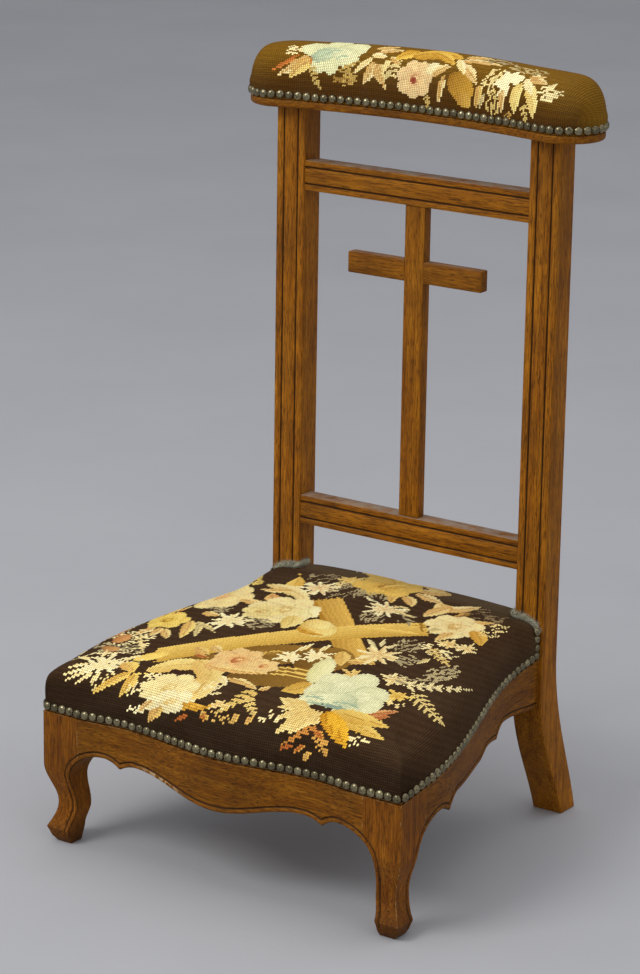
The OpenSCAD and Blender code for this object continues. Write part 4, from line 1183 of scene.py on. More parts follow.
    # sprays along the front edge
    c.fern(112, 30, 104, -14, 4, 12, 6, srgb(206, 138, 66))
    c.fern(120, 16, 148, -10, 4, 12, 6, srgb(218, 164, 86))
    c.leaf(118, 20, 132, 10, 9, srgb(214, 158, 78), RUST)
    c.leaf(134, -18, 142, -40, 8, srgb(222, 176, 90), TAN)
    c.leaf(112, -16, 106, -34, 9, RUST, RUST)
    c.leaf(122, -10, 124, -30, 9, srgb(212, 160, 78), RUST)
    c.fern(10, 62, 2, 8, 5, 14, 6.5, srgb(226, 192, 118))
    c.fern(8, 44, 34, 20, 3, 12, 6.5, srgb(230, 200, 130))
    c.leaf(14, 60, 22, 74, 9, CREAM, TAN)
    c.star(-8, 16, 14, 6, CREAM, TAN, 0.9)
    c.leaf(-20, 40, -36, 28, 5, PALE, vein=False)
    c.burr(-38, 40, 10, 16, 24, 7, PALE, 70)
    c.burr(54, 26, 12, 16, 18, 7, PALE, -50)
    c.leaf(-26, -16, -30, -36, 8, RUST, RUST)
    c.leaf(-14, -4, -2, -22, 8, srgb(212, 160, 78), RUST)
    c.leaf(22, 8, 30, -12, 9, srgb(226, 186, 104), TAN)
    c.leaf(40, 12, 44, -6, 8, srgb(222, 182, 100), TAN)
    c.burr(8, -6, 28, 8, 24, 6, srgb(210, 170, 100), -70)


def paint_armrest(c):
    """A garland of roses, lilies and leaves; x along the rest, y up over it from the row of nails."""
    c.burr(-162, 60, 12, 8, 22, 6, PALE, 30)
    c.leaf(-152, 54, -184, 30, 5, srgb(214, 128, 62), RUST, bow=2, vein=False)
    c.leaf(-140, 54, -172, 26, 11, PALE, TAN, bow=2)
    c.leaf(-132, 50, -158, 24, 16, srgb(240, 216, 140), TAN, bow=-2)
    c.leaf(-126, 54, -134, 42, 16, srgb(226, 160, 84), RUST)
    for x, y, rx, ry, t in ((-138, 66, 16, 13, 170), (-116, 74, 22, 14, 90), (-94, 68, 20, 16, 20),
                            (-96, 56, 18, 13, -30), (-120, 50, 18, 13, 240), (-110, 46, 14, 10, -80)):
        c.petal(x, y, rx, ry, t, srgb(232, 232, 200), srgb(208, 210, 174), 0.85)
    c.petal(-122, 58, 16, 11, 30, srgb(206, 214, 190), srgb(168, 186, 170), 0.8)
    c.petal(-102, 60, 16, 10, -20, srgb(236, 234, 204), srgb(200, 208, 184), 0.8)
    for x, y in ((-128, 62), (-120, 56), (-112, 62), (-100, 54)):
        c.stroke(x - 6, y - 2, x + 6, y + 3, 2.2, srgb(164, 186, 170), bow=2)
    c.fern(-134, 42, -122, 20, 4, 8, 3.6, srgb(206, 176, 110))
    c.burr(-88, 36, 14, 14, 44, 6, srgb(196, 164, 96), 15)
    c.burr(-96, 28, 10, 6, 14, 5, srgb(170, 132, 66), 15)
    c.leaf(-62, 58, -80, 36, 8, PALE, CREAM)
    c.leaf(-58, 52, -66, 26, 13, PALE, TAN, bow=2)
    c.leaf(-54, 50, -44, 28, 12, PALE, TAN)
    c.leaf(-50, 50, -38, 22, 8, CREAM, TAN)
    c.leaf(-60, 66, -30, 74, 9, PALE, TAN, bow=2)
    c.leaf(-66, 72, -40, 84, 9, CREAM, TAN)
    c.leaf(-66, 62, -44, 60, 8, WHITE, CREAM)
    c.burr(-38, 46, 14, 14, 34, 6, CREAM, 25)
    c.leaf(-40, 60, -24, 52, 7, CREAM, TAN)
    c.leaf(-8, 74, -34, 58, 18, srgb(234, 196, 98), DEEP, bow=-3)
    c.leaf(-14, 66, 50, 72, 24, srgb(232, 188, 88), srgb(196, 144, 50), bow=8)
    c.leaf(6, 78, 44, 60, 14, srgb(238, 198, 104), DEEP, bow=2)
    c.rose(-2, 38, 23, srgb(240, 212, 168), srgb(226, 176, 132), srgb(180, 96, 70), 0.92, 12, 7)
    c.dot(-3, 36, 3.2, srgb(158, 70, 50))
    c.petal(18, 52, 9, 7, 60, WHITE, PALE, 0.8)
    c.leaf(20, 44, 40, 58, 12, PALE, TAN, bow=2)
    c.leaf(36, 46, 32, 14, 8, PALE, TAN)
    c.petal(60, 36, 20, 15, -38, srgb(206, 158, 66), srgb(160, 112, 36), 0.9)
    c.petal(66, 22, 12, 8, -20, srgb(222, 178, 92), srgb(176, 126, 46), 0.9)
    c.leaf(52, 62, 82, 40, 13, PALE, TAN, bow=2)
    c.leaf(48, 68, 104, 70, 9, PALE, TAN, bow=3)
    c.leaf(50, 76, 84, 84, 10, CREAM, TAN, bow=1)
    c.leaf(44, 70, 62, 50, 9, WHITE, CREAM)
    c.leaf(86, 40, 84, 14, 10, srgb(226, 198, 126), TAN)
    c.leaf(94, 32, 88, 14, 6, CREAM)
    c.fern(16, 24, 18, 6, 3, 7, 3.2, srgb(214, 184, 118))
    c.burr(98, 46, 12, 16, 40, 6, CREAM, 50)
    c.burr(106, 26, 10, 14, 34, 6, srgb(222, 196, 132), -70)
    c.burr(96, 80, 24, 6, 26, 7, GREY, -15)
    c.burr(136, 72, 26, 6, 34, 7, srgb(190, 170, 124), -15)
    for x0, y0, x1, y1, w in ((122, 50, 112, 64, 11), (124, 50, 104, 44, 12), (126, 48, 128, 66, 12),
                              (128, 48, 140, 62, 11), (124, 46, 120, 30, 9), (122, 44, 112, 32, 7)):
        c.leaf(x0, y0, x1, y1, w, srgb(250, 242, 214), WHITE, vein=False)
    c.leaf(118, 40, 120, 14, 9, PALE, TAN)
    c.leaf(140, 50, 138, 16, 16, srgb(242, 226, 160), srgb(226, 196, 124), bow=-2)
    c.leaf(150, 52, 166, 14, 16, srgb(244, 226, 166), srgb(228, 196, 124), bow=3)
    c.leaf(144, 56, 160, 40, 11, WHITE, PALE)
    c.leaf(150, 56, 176, 54, 10, PALE, TAN, bow=2)
    c.leaf(146, 60, 168, 64, 7, PALE, TAN)
    c.burr(178, 44, 12, 10, 34, 7, PALE, 8)
    c.fern(150, 30, 156, 4, 4, 7, 3.2, srgb(226, 198, 130))
    c.burr(128, 10, 8, 8, 10, 5, srgb(190, 150, 84), -70)

# ---------------------------------------------------------------- cushions


def needlepoint(name, thread, gap_shade):
    """Slanting wool stitches, coloured by the painted layer; the gaps between them get a painted shade colour
    and their crowns are painted lighter.
    """
    n = Nodes(name)
    att = n.add("ShaderNodeVertexColor", layer_name="wool")
    uv = n.add("ShaderNodeUVMap", uv_map="stitch")
    across, down = (n.math("SUBTRACT", n.math("FRACT", n.parts(uv.outputs[0])[axis]), 0.5) for axis in "XY")
    long, short = n.math("ADD", across, down), n.math("SUBTRACT", across, down)
    round_off = n.math("MULTIPLY_ADD", n.times(short, short), 2.6, n.times(long, long))
    cover = n.grey(round_off, 1.15, 0.0)
    fuzz = n.noise(n.coords(), 1300, 3, 0.7)
    # painted light and shade of each stitch's relief: its crown lighter, the gaps between stitches darker
    stitch_light_and_shade = n.mixc(n.grey(cover, 0.0, 0.6), gap_shade, (1.50, 1.50, 1.40))
    wool = n.mixc(1.0, att.outputs["Color"], stitch_light_and_shade, "MULTIPLY")
    wool = n.mixc(n.times(n.grey(fuzz, 0.35, 0.75), 0.10), wool, thread)
    age = n.noise(n.coords(), 17, 3, 0.6)
    wool = n.mixc(n.times(n.grey(age, 0.45, 0.75), 0.10), wool, (0.16, 0.12, 0.07))
    n.set("Base Color", wool)
    n.set("Roughness", 0.92)
    n.set("Specular IOR Level", 0.05)
    n.set("Normal", n.bump(n.math("ADD", cover, n.times(fuzz, 0.35)), 0.6, 0.0009))
    return n.mat


def edge_roll(d, reach, drop):
    """Fall of a cushion's top where it rounds over to its wall, at distance d in from the edge."""
    t = 1 - np.clip(d / reach, 0, 1)
    return drop * (1 - np.sqrt(np.clip(1 - t ** 2.2, 0, 1)))


def distance_to(points, line):
    """Distance from each point to a closed line."""
    return nearest(points, line, np.roll(line, -1, 0))


def inflate(ob, held, pressure, cap, frames=20):
    """Lets the cloth settle on its stuffing: the nailed edge held, no point moving past cap millimetres."""
    group = ob.vertex_groups.new(name="held")
    group.add([int(i) for i in held], 1.0, "REPLACE")
    before = np.array([v.co for v in ob.data.vertices])
    mod = ob.modifiers.new("Cloth", "CLOTH")
    st = mod.settings
    st.quality, st.mass = 6, 0.25
    st.tension_stiffness = st.compression_stiffness = 22
    st.shear_stiffness, st.bending_stiffness = 12, 1.2
    st.vertex_group_mass = "held"
    st.use_pressure, st.uniform_pressure_force = True, pressure
    st.effector_weights.gravity = 0
    mod.point_cache.frame_start, mod.point_cache.frame_end = 1, frames
    scene = bpy.context.scene
    for f in range(1, frames + 1):
        scene.frame_set(f)
    dg = bpy.context.evaluated_depsgraph_get()
    after = np.array([v.co for v in ob.evaluated_get(dg).data.vertices])
    scene.frame_set(1)
    ob.modifiers.remove(mod)
    ob.vertex_groups.remove(group)
    move = after - before
    length = np.linalg.norm(move, axis=1)[:, None]
    move = move * np.minimum(1, cap * MM / np.maximum(length, 1e-9))
    ob.data.vertices.foreach_set("co", (before + move).ravel())


def subdivided(ob, levels=2):
    mod = ob.modifiers.new("Subdivision", "SUBSURF")
    mod.levels = mod.render_levels = levels
    mod.uv_smooth = "NONE"
    dg = bpy.context.evaluated_depsgraph_get()
    me = bpy.data.meshes.new_from_object(ob.evaluated_get(dg), depsgraph=dg)
    ob.modifiers.remove(mod)
    old = ob.data
    ob.data = me
    bpy.data.meshes.remove(old)
    ob.data.shade_smooth()


def face_uv(me, name):
    """The middle of each face in a map, and how many corners each face has."""
    uv = np.empty(len(me.loops) * 2)
    me.uv_layers[name].data.foreach_get("uv", uv)
    uv = uv.reshape(-1, 2)
    start = np.array([p.loop_start for p in me.polygons])
    size = np.array([p.loop_total for p in me.polygons])
    return np.add.reduceat(uv, start, 0) / size[:, None], size


STITCHES = 4.0  # stitches along each side of a coarse cell, which two subdivisions cut into 4 by 4
OFF_CLOTH = (900.0, 900.0)


def stitch(j, i):
    return STITCHES * i, STITCHES * j


def walk(*corners):
    """The grid places met on the way round, anticlockwise, from corner to corner."""
    ring = []
    for (j0, i0), (j1, i1) in zip(corners, corners[1:] + corners[:1]):
        steps = max(abs(j1 - j0), abs(i1 - i0))
        ring += [(j0 + (j1 - j0) * k // steps, i0 + (i1 - i0) * k // steps) for k in range(steps)]
    return ring


def way_out(a, b):
    """Direction away from the cloth, square to the step from a to b along its edge."""
    if a[0] == b[0]:
        return (0, -1) if a[0] == 0 else (0, 1)
    return (1, 0) if b[0] > a[0] else (-1, 0)


class Grid:
    """A stitched sheet of patches that share vertices, with stitch and cloth coordinates on every corner."""

    def __init__(self):
        self.v, self.f, self.st, self.cl = [], [], [], []

    def point(self, p):
        self.v.append(p)
        return len(self.v) - 1

    def quad(self, ids, stitch, cloth):
        self.f.append(ids)
        self.st.append(stitch)
        self.cl.append(cloth)

    def top(self, ids, cloth):
        """The cloth over the top, from a table of vertices that holds -1 where there is none."""
        for j in range(ids.shape[0] - 1):
            for i in range(ids.shape[1] - 1):
                q = [(j, i), (j, i + 1), (j + 1, i + 1), (j + 1, i)]
                if all(ids[a] >= 0 for a in q):
                    self.quad([ids[a] for a in q], [stitch(*a) for a in q], [cloth(*a) for a in q])

    def walls(self, ring, levels, height, cloth):
        """The cloth down the walls; its stitches and pattern run on outwards from the edge of the top."""
        steps = len(levels) - 1
        for w in range(steps):
            for m in range(len(ring)):
                p = (m + 1) % len(ring)
                sx, sy = way_out(ring[m], ring[p])
                quad, st, cl = [], [], []
                for level, at in ((w, m), (w, p), (w + 1, p), (w + 1, m)):
                    quad.append(levels[level][at])
                    u, v = stitch(*ring[at])
                    x, y = cloth(*ring[at])
                    fall = height[at] * level / steps
                    st.append((u + sx * STITCHES * level, v + sy * STITCHES * level))
                    cl.append((x + sx * fall, y + sy * fall))
                self.quad(quad[::-1], st[::-1], cl[::-1])

    def turned_in(self, rows):
        """The plain cloth turned in under the edge, up the rebate and across under the stuffing."""
        faces = []
        for upper, lower in zip(rows, rows[1:]):
            for m in range(len(upper)):
                p = (m + 1) % len(upper)
                faces.append([lower[m], lower[p], upper[p], upper[m]])
        for ids in faces + [rows[-1][::-1]]:
            self.quad(ids, [(0.5, 0.5)] * len(ids), [OFF_CLOTH] * len(ids))

    def build(self, name, material):
        ob = make(name, self.v, self.f, material)
        me = ob.data
        for layer, rows in (("stitch", self.st), ("cloth", self.cl)):
            uv = me.uv_layers.new(name=layer)
            uv.data.foreach_set("uv", np.array([c for r in rows for p in r for c in p], float))
        return ob


def wool_colours(ob, paint, seed, place=None):
    """Gives every stitch one colour; place may move the cloth coordinates the colour is looked up at."""
    me = ob.data
    cloth, size = face_uv(me, "cloth")
    if place is not None:
        count = len(me.polygons)
        centre, normal = np.empty(count * 3), np.empty(count * 3)
        me.polygons.foreach_get("center", centre)
        me.polygons.foreach_get("normal", normal)
        cloth = place(cloth, centre.reshape(-1, 3) / MM, normal.reshape(-1, 3))
    colour = paint(cloth[:, 0], cloth[:, 1])
    rng = np.random.default_rng(seed)
    colour = colour * (1 + 0.16 * (rng.random(len(colour))[:, None] - 0.5))
    att = me.color_attributes.new("wool", "FLOAT_COLOR", "CORNER")
    each = np.repeat(np.concatenate([colour, np.ones((len(colour), 1))], 1), size, 0)
    att.data.foreach_set("color", each.ravel())


# both cushions: the cover stands in from the wood's edge, starts above it and is turned in below
COVER_IN, WALL_FOOT, TUCK = 0.4, 0.6, 2.5
# seat: the crown of a large ball, filled out towards the edges, rounded over to a wall down to the nails
CROWN, FALL = 58.0, 25.0
FULLER, CORNER_FULL = 8.0, 13.0
SHOULDER, SHOULDER_DROP = 15.0, 7.5
REACH = math.hypot(FRONT_HALF, SEAT_DEPTH / 2)
BALL = REACH * REACH / (2 * FALL)
TAB_X = POST_IN - 1.0
TAB_Y = rear_hi[1] - COVER_IN


def crown_z(x, y):
    """Height of the ball's top over (x, y)."""
    c, s = math.cos(SLOPE), math.sin(SLOPE)
    along, up = SEAT_DEPTH / 2, CROWN - BALL
    cy = CORNER_Y + along * c - up * s
    cz = SEAT_FRONT + along * s + up * c
    return cz + np.sqrt(BALL ** 2 - x ** 2 - (y - cy) ** 2)


def full_z(x, y):
    """Height of the cushion's top: the ball, filled out towards the edges and most at the two front corners."""
    spread = (x ** 2 + (y - CORNER_Y - SEAT_DEPTH / 2) ** 2) / REACH ** 2
    front = smooth(0.8, 0.1, (y - CORNER_Y) / SEAT_DEPTH)
    return crown_z(x, y) + FULLER * spread + CORNER_FULL * spread ** 2.5 * front


PATTERN_WAY = np.array((0.5446, -0.7909, 0.2788))
BACK_ROLL, POST_ROLL, SEAT_BULGE = (13, 6), (7, 2.5), 3.0
# gathers where the cloth is drawn round the front corners: place along the edge from the corner, depth, width
GATHERS = (5.5, 2.6, 2.2), (-7.0, 1.4, 2.2), (14.0, 1.2, 2.8), (-16.0, 0.8, 2.8)


def carried_over(cloth, centre, normal):
    """The walls' pattern was worked flat and drawn down: follow it along PATTERN_WAY to the crown's ball."""
    lo, hi = np.full(len(centre), -40.0), np.full(len(centre), 140.0)
    for _ in range(26):
        s = (lo + hi) / 2
        p = centre + s[:, None] * PATTERN_WAY
        above = p[:, 2] > crown_z(p[:, 0], p[:, 1])
        hi, lo = np.where(above, s, hi), np.where(above, lo, s)
    p = centre + ((lo + hi) / 2)[:, None] * PATTERN_WAY
    far = smooth(0.30, 0.0, normal @ PATTERN_WAY)[:, None]
    moved = np.stack([p[:, 0], p[:, 1] - CORNER_Y], 1) * (1 - far) + np.clip(cloth, -400, 500) * far
    return np.where(cloth > OFF_CLOTH[0] - 100, cloth, moved)


def seat_edge_line():
    xs = np.linspace(-FRONT_HALF + 0.4, FRONT_HALF - 0.4, 60)
    ys = np.linspace(CORNER_Y + 0.4, POST_Y, 50)
    line = [(x, float(front_y(x)) + COVER_IN) for x in xs]
    line += [(float(side_x(y)) - COVER_IN, y) for y in ys[1:]]
    line += [(BACK_HALF, TAB_Y + 8), (-BACK_HALF, TAB_Y + 8)]
    line += [(-float(side_x(y)) + COVER_IN, y) for y in ys[::-1][:-1]]
    return np.array(line)


def build_seat_cushion():
    nx, ny, tab, wall = 50, 38, 3, 4
    tab_share = TAB_X / (BACK_HALF - COVER_IN)
    key = round(TAB_X / BACK_HALF * nx / 2)
    k = np.arange(-nx // 2, nx // 2 + 1)
    beside = tab_share + (np.abs(k) - key) / (nx / 2 - key) * (1 - tab_share)
    keyed = np.where(np.abs(k) <= key, k / key * TAB_X / (BACK_HALF - COVER_IN), np.sign(k) * beside)
    even = k / (nx / 2)
    rows = []
    back = POST_Y - 0.4
    for j in range(ny + 1):
        t = j / ny
        y_mid = mix(CORNER_Y + COVER_IN, back, t)
        half = float(side_x(y_mid)) - COVER_IN
        xs = mix(even, keyed, smooth(0.5, 1, t)) * half
        bend = (front_y(xs * FRONT_HALF / max(half, 1)) - CORNER_Y) * (1 - t) ** 1.5
        rows.append([(x, y_mid + b) for x, b in zip(xs, bend)])
    for j in range(1, tab + 1):
        y = mix(back, TAB_Y, j / tab)
        rows.append([(x, y) for x in keyed * (BACK_HALF - COVER_IN)])
    plan = np.array(rows)
    d = distance_to(plan.reshape(-1, 2), seat_edge_line()).reshape(plan.shape[:2])
    d_back = np.maximum(TAB_Y - plan[..., 1], 0)
    d_post = np.where(np.abs(plan[..., 0]) > TAB_X - 2, np.maximum(back - plan[..., 1], 0), 99)
    z = full_z(plan[..., 0], plan[..., 1]) - edge_roll(d, SHOULDER, SHOULDER_DROP)
    z -= edge_roll(d_back, *BACK_ROLL) * (np.abs(plan[..., 0]) <= TAB_X + 1)
    z -= edge_roll(d_post, *POST_ROLL)
    grid = Grid()
    ids = -np.ones(plan.shape[:2], int)
    lo, hi, last = nx // 2 - key, nx // 2 + key, ny + tab
    for j in range(last + 1):
        for i in range(nx + 1):
            if j <= ny or lo <= i <= hi:
                ids[j, i] = grid.point((*plan[j, i], z[j, i]))

    def cloth(j, i):
        return plan[j, i, 0], plan[j, i, 1] - CORNER_Y

    grid.top(ids, cloth)
    ring = walk((0, 0), (0, nx), (ny, nx), (ny, hi), (last, hi), (last, lo), (ny, lo), (ny, 0))
    levels = [[ids[a] for a in ring]]
    for w in range(1, wall + 1):
        t = w / wall
        row = []
        for a in ring:
            x, y = plan[a]
            bulge = SEAT_BULGE * math.sin(math.pi * min(t * 1.4, 1)) ** 0.8 * (1 if y < POST_Y - 8 else 0)
            ox = bulge * np.sign(x) if a[1] in (0, nx) else 0.0
            oy = -bulge if a[0] == 0 else 0.0
            row.append(grid.point((x + ox, y + oy, mix(z[a], float(seat_z(y)) + WALL_FOOT, t))))
        levels.append(row)
    grid.walls(ring, levels, [float(z[a] - seat_z(plan[a][1]) - WALL_FOOT) for a in ring], cloth)
    under = [levels[-1]]
    for lift in (0.0, 15.8):
        row = []
        for a in ring:
            x, y = plan[a]
            in_x, in_y = x, y
            if (a[1] in (0, nx) and y <= POST_Y) or (a[1] in (lo, hi) and a[0] > ny):
                in_x = x - np.sign(x) * TUCK
            if a[0] == 0:
                in_y = y + TUCK
            if a[0] == last or (a[0] == ny and not lo < a[1] < hi):
                in_y = y - TUCK
            row.append(grid.point((in_x, in_y, float(seat_z(y)) + WALL_FOOT + lift)))
        under.append(row)
    grid.turned_in(under)
    # the last colour is the painted shade between the stitches
    ob = grid.build("seat_cushion", needlepoint("seat_wool", (0.10, 0.062, 0.045), (0.36, 0.32, 0.27)))
    outward(ob)
    inflate(ob, levels[-1] + levels[-2] + under[1] + under[2], pressure=4.0, cap=6.0)
    subdivided(ob)
    co = np.array([v.co for v in ob.data.vertices]) / MM
    for s in (-1, 1):
        dx, dy, up = co[:, 0] - s * FRONT_HALF, co[:, 1] - CORNER_Y, co[:, 2] - seat_z(co[:, 1])
        along = np.where(np.abs(dx) < np.abs(dy) + 0.01, dy, -np.abs(dx))
        fold = np.zeros(len(co))
        for at, depth, width in GATHERS:
            fold += depth * np.exp(-((along - at) / width) ** 2)
        k = fold * smooth(34, 6, up) * (np.hypot(dx, dy) < 40) * (up > 3)
        inward = np.stack([-s * np.ones(len(co)) * (along > 0), (along <= 0) * 1.0, np.zeros(len(co))], 1)
        co += inward * k[:, None]
    ob.data.vertices.foreach_set("co", (co * MM).ravel())

    def paint(x, y):
        rng = np.random.default_rng(5)
        # painted shade: the ground is darker over the front of the top and down the front wall
        ground = np.tile(srgb(64, 45, 29), (len(x), 1)) * (0.55 + 0.45 * smooth(-12, 40, y)[:, None])
        band = 1 + 0.12 * np.sin(y * 0.5 + 0.02 * x) + 0.10 * (rng.random(len(x)) - 0.5)
        c = Canvas(x, y, ground * band[:, None], 21)
        paint_seat(c)
        worn = smooth(345, 395, y) * 0.45
        c.colour = c.colour * (1 - worn[:, None]) + srgb(112, 98, 76) * worn[:, None]
        return yellowed(c.colour)

    wool_colours(ob, paint, 31, carried_over)
    return finish_piece(ob, "seat_needlepoint", "seat_cover", "seat_stuffing")


ROLL_REACH, ROLL_DROP = 41.0, 34.0
CREST_Z, CREST_FALL, CREST_AT, ARM_BULGE = 871.4, 4.4, 150, 2.4


def build_arm_cushion():
    nx, ny, wall = 50, 14, 4
    base = BOARD_Z + 9 + WALL_FOOT

    def edge_point(side, t):
        """side: 0 front, 1 right end, 2 back, 3 left end; t from 0 to 1 with increasing x or y."""
        r = END_R - COVER_IN
        diag = math.radians(45)
        x_c = END_X + r * math.cos(diag)
        if side in (0, 2):
            x = mix(-x_c, x_c, t)
            if abs(x) <= END_X:
                return x, (arm_front(x) + COVER_IN if side == 0 else arm_back(x) - COVER_IN)
            dy = math.sqrt(max(r * r - (abs(x) - END_X) ** 2, 0))
            return x, POST_MID + (-dy if side == 0 else dy)
        a = mix(-diag, diag, t)
        return (1 if side == 1 else -1) * (END_X + r * math.cos(a)), POST_MID + r * math.sin(a)

    def evenly(count, length):
        """Places from 0 to 1 that divide the rounded profile over a plan length into equal runs of cloth."""
        s = np.linspace(0, 1, 400)
        h = -edge_roll(np.minimum(s, 1 - s) * length, ROLL_REACH, ROLL_DROP)
        run = np.concatenate([[0], np.cumsum(np.hypot(np.diff(s) * length, np.diff(h)))])
        return np.interp(np.linspace(0, run[-1], count + 1), run, s)

    us, vs = evenly(nx, 2 * (END_X + END_R)), evenly(ny, 2 * END_R - 8)
    corners = [np.array(edge_point(side, at)) for side in (0, 2) for at in (0, 1)]
    plan = np.zeros((ny + 1, nx + 1, 2))
    for j in range(ny + 1):
        for i in range(nx + 1):
            end = abs(2 * i / nx - 1) ** 5
            u, v = us[i], mix(vs[j], j / ny, end)
            f, r, b, l = (np.array(edge_point(side, at)) for side, at in ((0, u), (1, v), (2, u), (3, v)))
            sides = (1 - v) * f + v * b + (1 - u) * l + u * r
            plan[j, i] = sides - ((1 - u) * (1 - v) * corners[0] + u * (1 - v) * corners[1]
                                  + (1 - u) * v * corners[2] + u * v * corners[3])
    far = np.abs(plan[..., 0])
    d = distance_to(plan.reshape(-1, 2), arm_outline(COVER_IN)).reshape(plan.shape[:2])
    d = d * (1 + 0.55 * smooth(130, 205, far))
    crest = CREST_Z - CREST_FALL * (far / CREST_AT) ** 2
    z = crest - edge_roll(d, ROLL_REACH, ROLL_DROP) * (1 + 0.12 * (far / (END_X + END_R)) ** 4)
    grid = Grid()
    ids = np.zeros((ny + 1, nx + 1), int)
    for j in range(ny + 1):
        for i in range(nx + 1):
            ids[j, i] = grid.point((*plan[j, i], z[j, i]))
    step = np.linalg.norm(np.diff(np.concatenate([plan, z[..., None]], 2), axis=0), axis=2)
    climb = np.concatenate([np.zeros((1, nx + 1)), np.cumsum(step, 0)], 0)

    def cloth(j, i):
        return plan[j, i, 0], z[0, i] - base + climb[j, i]

    grid.top(ids, cloth)
    ring = walk((0, 0), (0, nx), (ny, nx), (ny, 0))
    pts = np.array([plan[a] for a in ring])
    tangent = np.roll(pts, -1, 0) - np.roll(pts, 1, 0)
    normal = np.stack([tangent[:, 1], -tangent[:, 0]], 1)
    normal /= np.linalg.norm(normal, axis=1)[:, None]
    levels = [[ids[a] for a in ring]]
    for w in range(1, wall + 1):
        t = w / wall
        out = ARM_BULGE * math.sin(math.pi * min(t * 1.4, 1))
        levels.append([grid.point((*(at + way * out), mix(z[a], base, t)))
                       for at, way, a in zip(pts, normal, ring)])
    grid.walls(ring, levels, [z[a] - base for a in ring], cloth)
    under = [levels[-1]]
    for lift in (0.0, 10.8):
        under.append([grid.point((*(at - way * TUCK), base + lift)) for at, way in zip(pts, normal)])
    grid.turned_in(under)
    # the last colour is the painted shade between the stitches
    ob = grid.build("armrest_cushion", needlepoint("armrest_wool", (0.20, 0.13, 0.05), (0.20, 0.16, 0.11)))
    outward(ob)
    inflate(ob, levels[-1] + levels[-2] + under[1] + under[2], pressure=4.0, cap=3.0)
    subdivided(ob)

    def paint(x, t):
        # painted sheen: the ground is lighter up over the top and towards the ends, darker low in the middle
        painted_sheen = smooth(18, 66, t + 14 * smooth(140, 225, np.abs(x)))
        ground = shaded(srgb(80, 50, 14), srgb(124, 88, 22), painted_sheen)
        band = 1 + 0.10 * np.sin(t * 0.9 + 0.01 * x)
        c = Canvas(x, t, ground * band[:, None], 22)
        paint_armrest(c)
        return yellowed(c.colour)

    wool_colours(ob, paint, 32)
    return finish_piece(ob, "armrest_needlepoint", "armrest_cover", "armrest_stuffing")


build_seat_cushion()
build_arm_cushion()

# ---------------------------------------------------------------- webbing, hessian, braid and small parts


def on_slope(x, along, up):
    """A place given across, up the slope and square to the seat plane."""
    c, s = math.cos(SLOPE), math.sin(SLOPE)
    return (x, CORNER_Y + along * c - up * s, SEAT_FRONT + along * s + up * c)


STRAPS, STRAP_W, WEB_T = 4, 50.0, 1.1
WEB_FRONT = 12.5
strap_step = STRAP_W + (2 * POST_IN - 6 - STRAPS * STRAP_W) / (STRAPS - 1)
strap_xs = [-POST_IN + 3 + STRAP_W / 2 + i * strap_step for i in range(STRAPS)]
web_back = (rear_lo[1] + 11 - CORNER_Y) / math.cos(SLOPE)
cross_pitch = (SEAT_DEPTH / math.cos(SLOPE) - 95) / STRAPS
cross_ys = [62 + (i + 0.5) * cross_pitch for i in range(STRAPS)]


def ribbon(rows, thick):
    """Points of a thin closed strip, six to a row, from rows of its left and right edge."""
    up = np.array((0, -math.sin(SLOPE), math.cos(SLOPE))) * thick / 2
    verts = []
    for a, b in np.array(rows):
        verts += [a + up, mix(a, b, 0.5) + up, b + up, b - up, mix(a, b, 0.5) - up, a - up]
    return verts


def webbing(name, lengthwise, node, material):
    """Straps woven over and under the ones that cross them."""
    verts, faces = [], []
    for k in range(STRAPS):
        pts = []
        if lengthwise:
            span = np.linspace(WEB_FRONT, web_back, 66)
            marks = cross_ys
        else:
            y = cross_ys[k]
            reach = float(side_x(CORNER_Y + (y + STRAP_W / 2) * math.cos(SLOPE))) - REBATE - 4
            span = np.linspace(-reach, reach, 66)
            marks = strap_xs
        for s in span:
            near = [abs(s - m) for m in marks]
            m = int(np.argmin(near))
            sign = 1 if (m + k) % 2 == (0 if lengthwise else 1) else -1
            lift = BAND + 1.5 + sign * 0.75 * float(smooth(STRAP_W * 0.72, STRAP_W * 0.5, near[m]))
            if lengthwise:
                pts.append([on_slope(strap_xs[k] + side, s, lift) for side in (-STRAP_W / 2, STRAP_W / 2)])
            else:
                pts.append([on_slope(s, y + side, lift) for side in (STRAP_W / 2, -STRAP_W / 2)])
        faces += tube(len(verts), len(pts), 6)
        verts += ribbon(pts, WEB_T)
    ob = make(name, verts, faces, material, 40)
    outward(ob)
    return finish_piece(ob, "webbing", node)


jute = weave("jute_webbing", (0.44, 0.33, 0.19), (0.20, 0.14, 0.07), 0.0016)
webbing("webbing_long", True, "webbing_lengthwise", jute)
webbing("webbing_cross", False, "webbing_crosswise", jute)


def build_hessian():
    ys = np.linspace(CORNER_Y + 12, POST_Y - 4, 34)
    verts, faces = [], []
    nx = 40
    for y in ys:
        half = float(side_x(y)) - REBATE - 6.5
        for i in range(nx + 1):
            x = -half + 2 * half * i / nx
            yy = max(y, float(front_y(x)) + 10) if y == ys[0] else y
            along = (yy - CORNER_Y) / math.cos(SLOPE)
            verts.append(on_slope(x, along, 16.5 + 0.12 * math.sin(x * 0.21) * math.sin(y * 0.17)))
    for j in range(len(ys) - 1):
        for i in range(nx):
            a = j * (nx + 1) + i
            faces.append((a, a + 1, a + nx + 2, a + nx + 1))
    sacking = weave("sacking", (0.42, 0.31, 0.17), (0.17, 0.12, 0.06), 0.0012, 1.0)
    ob = make("seat_sacking", verts, faces, sacking)
    solid = ob.modifiers.new("Solidify", "SOLIDIFY")
    solid.thickness, solid.offset = 0.0005, 0
    return finish_piece(ob, "hessian", "seat_hessian")


build_hessian()


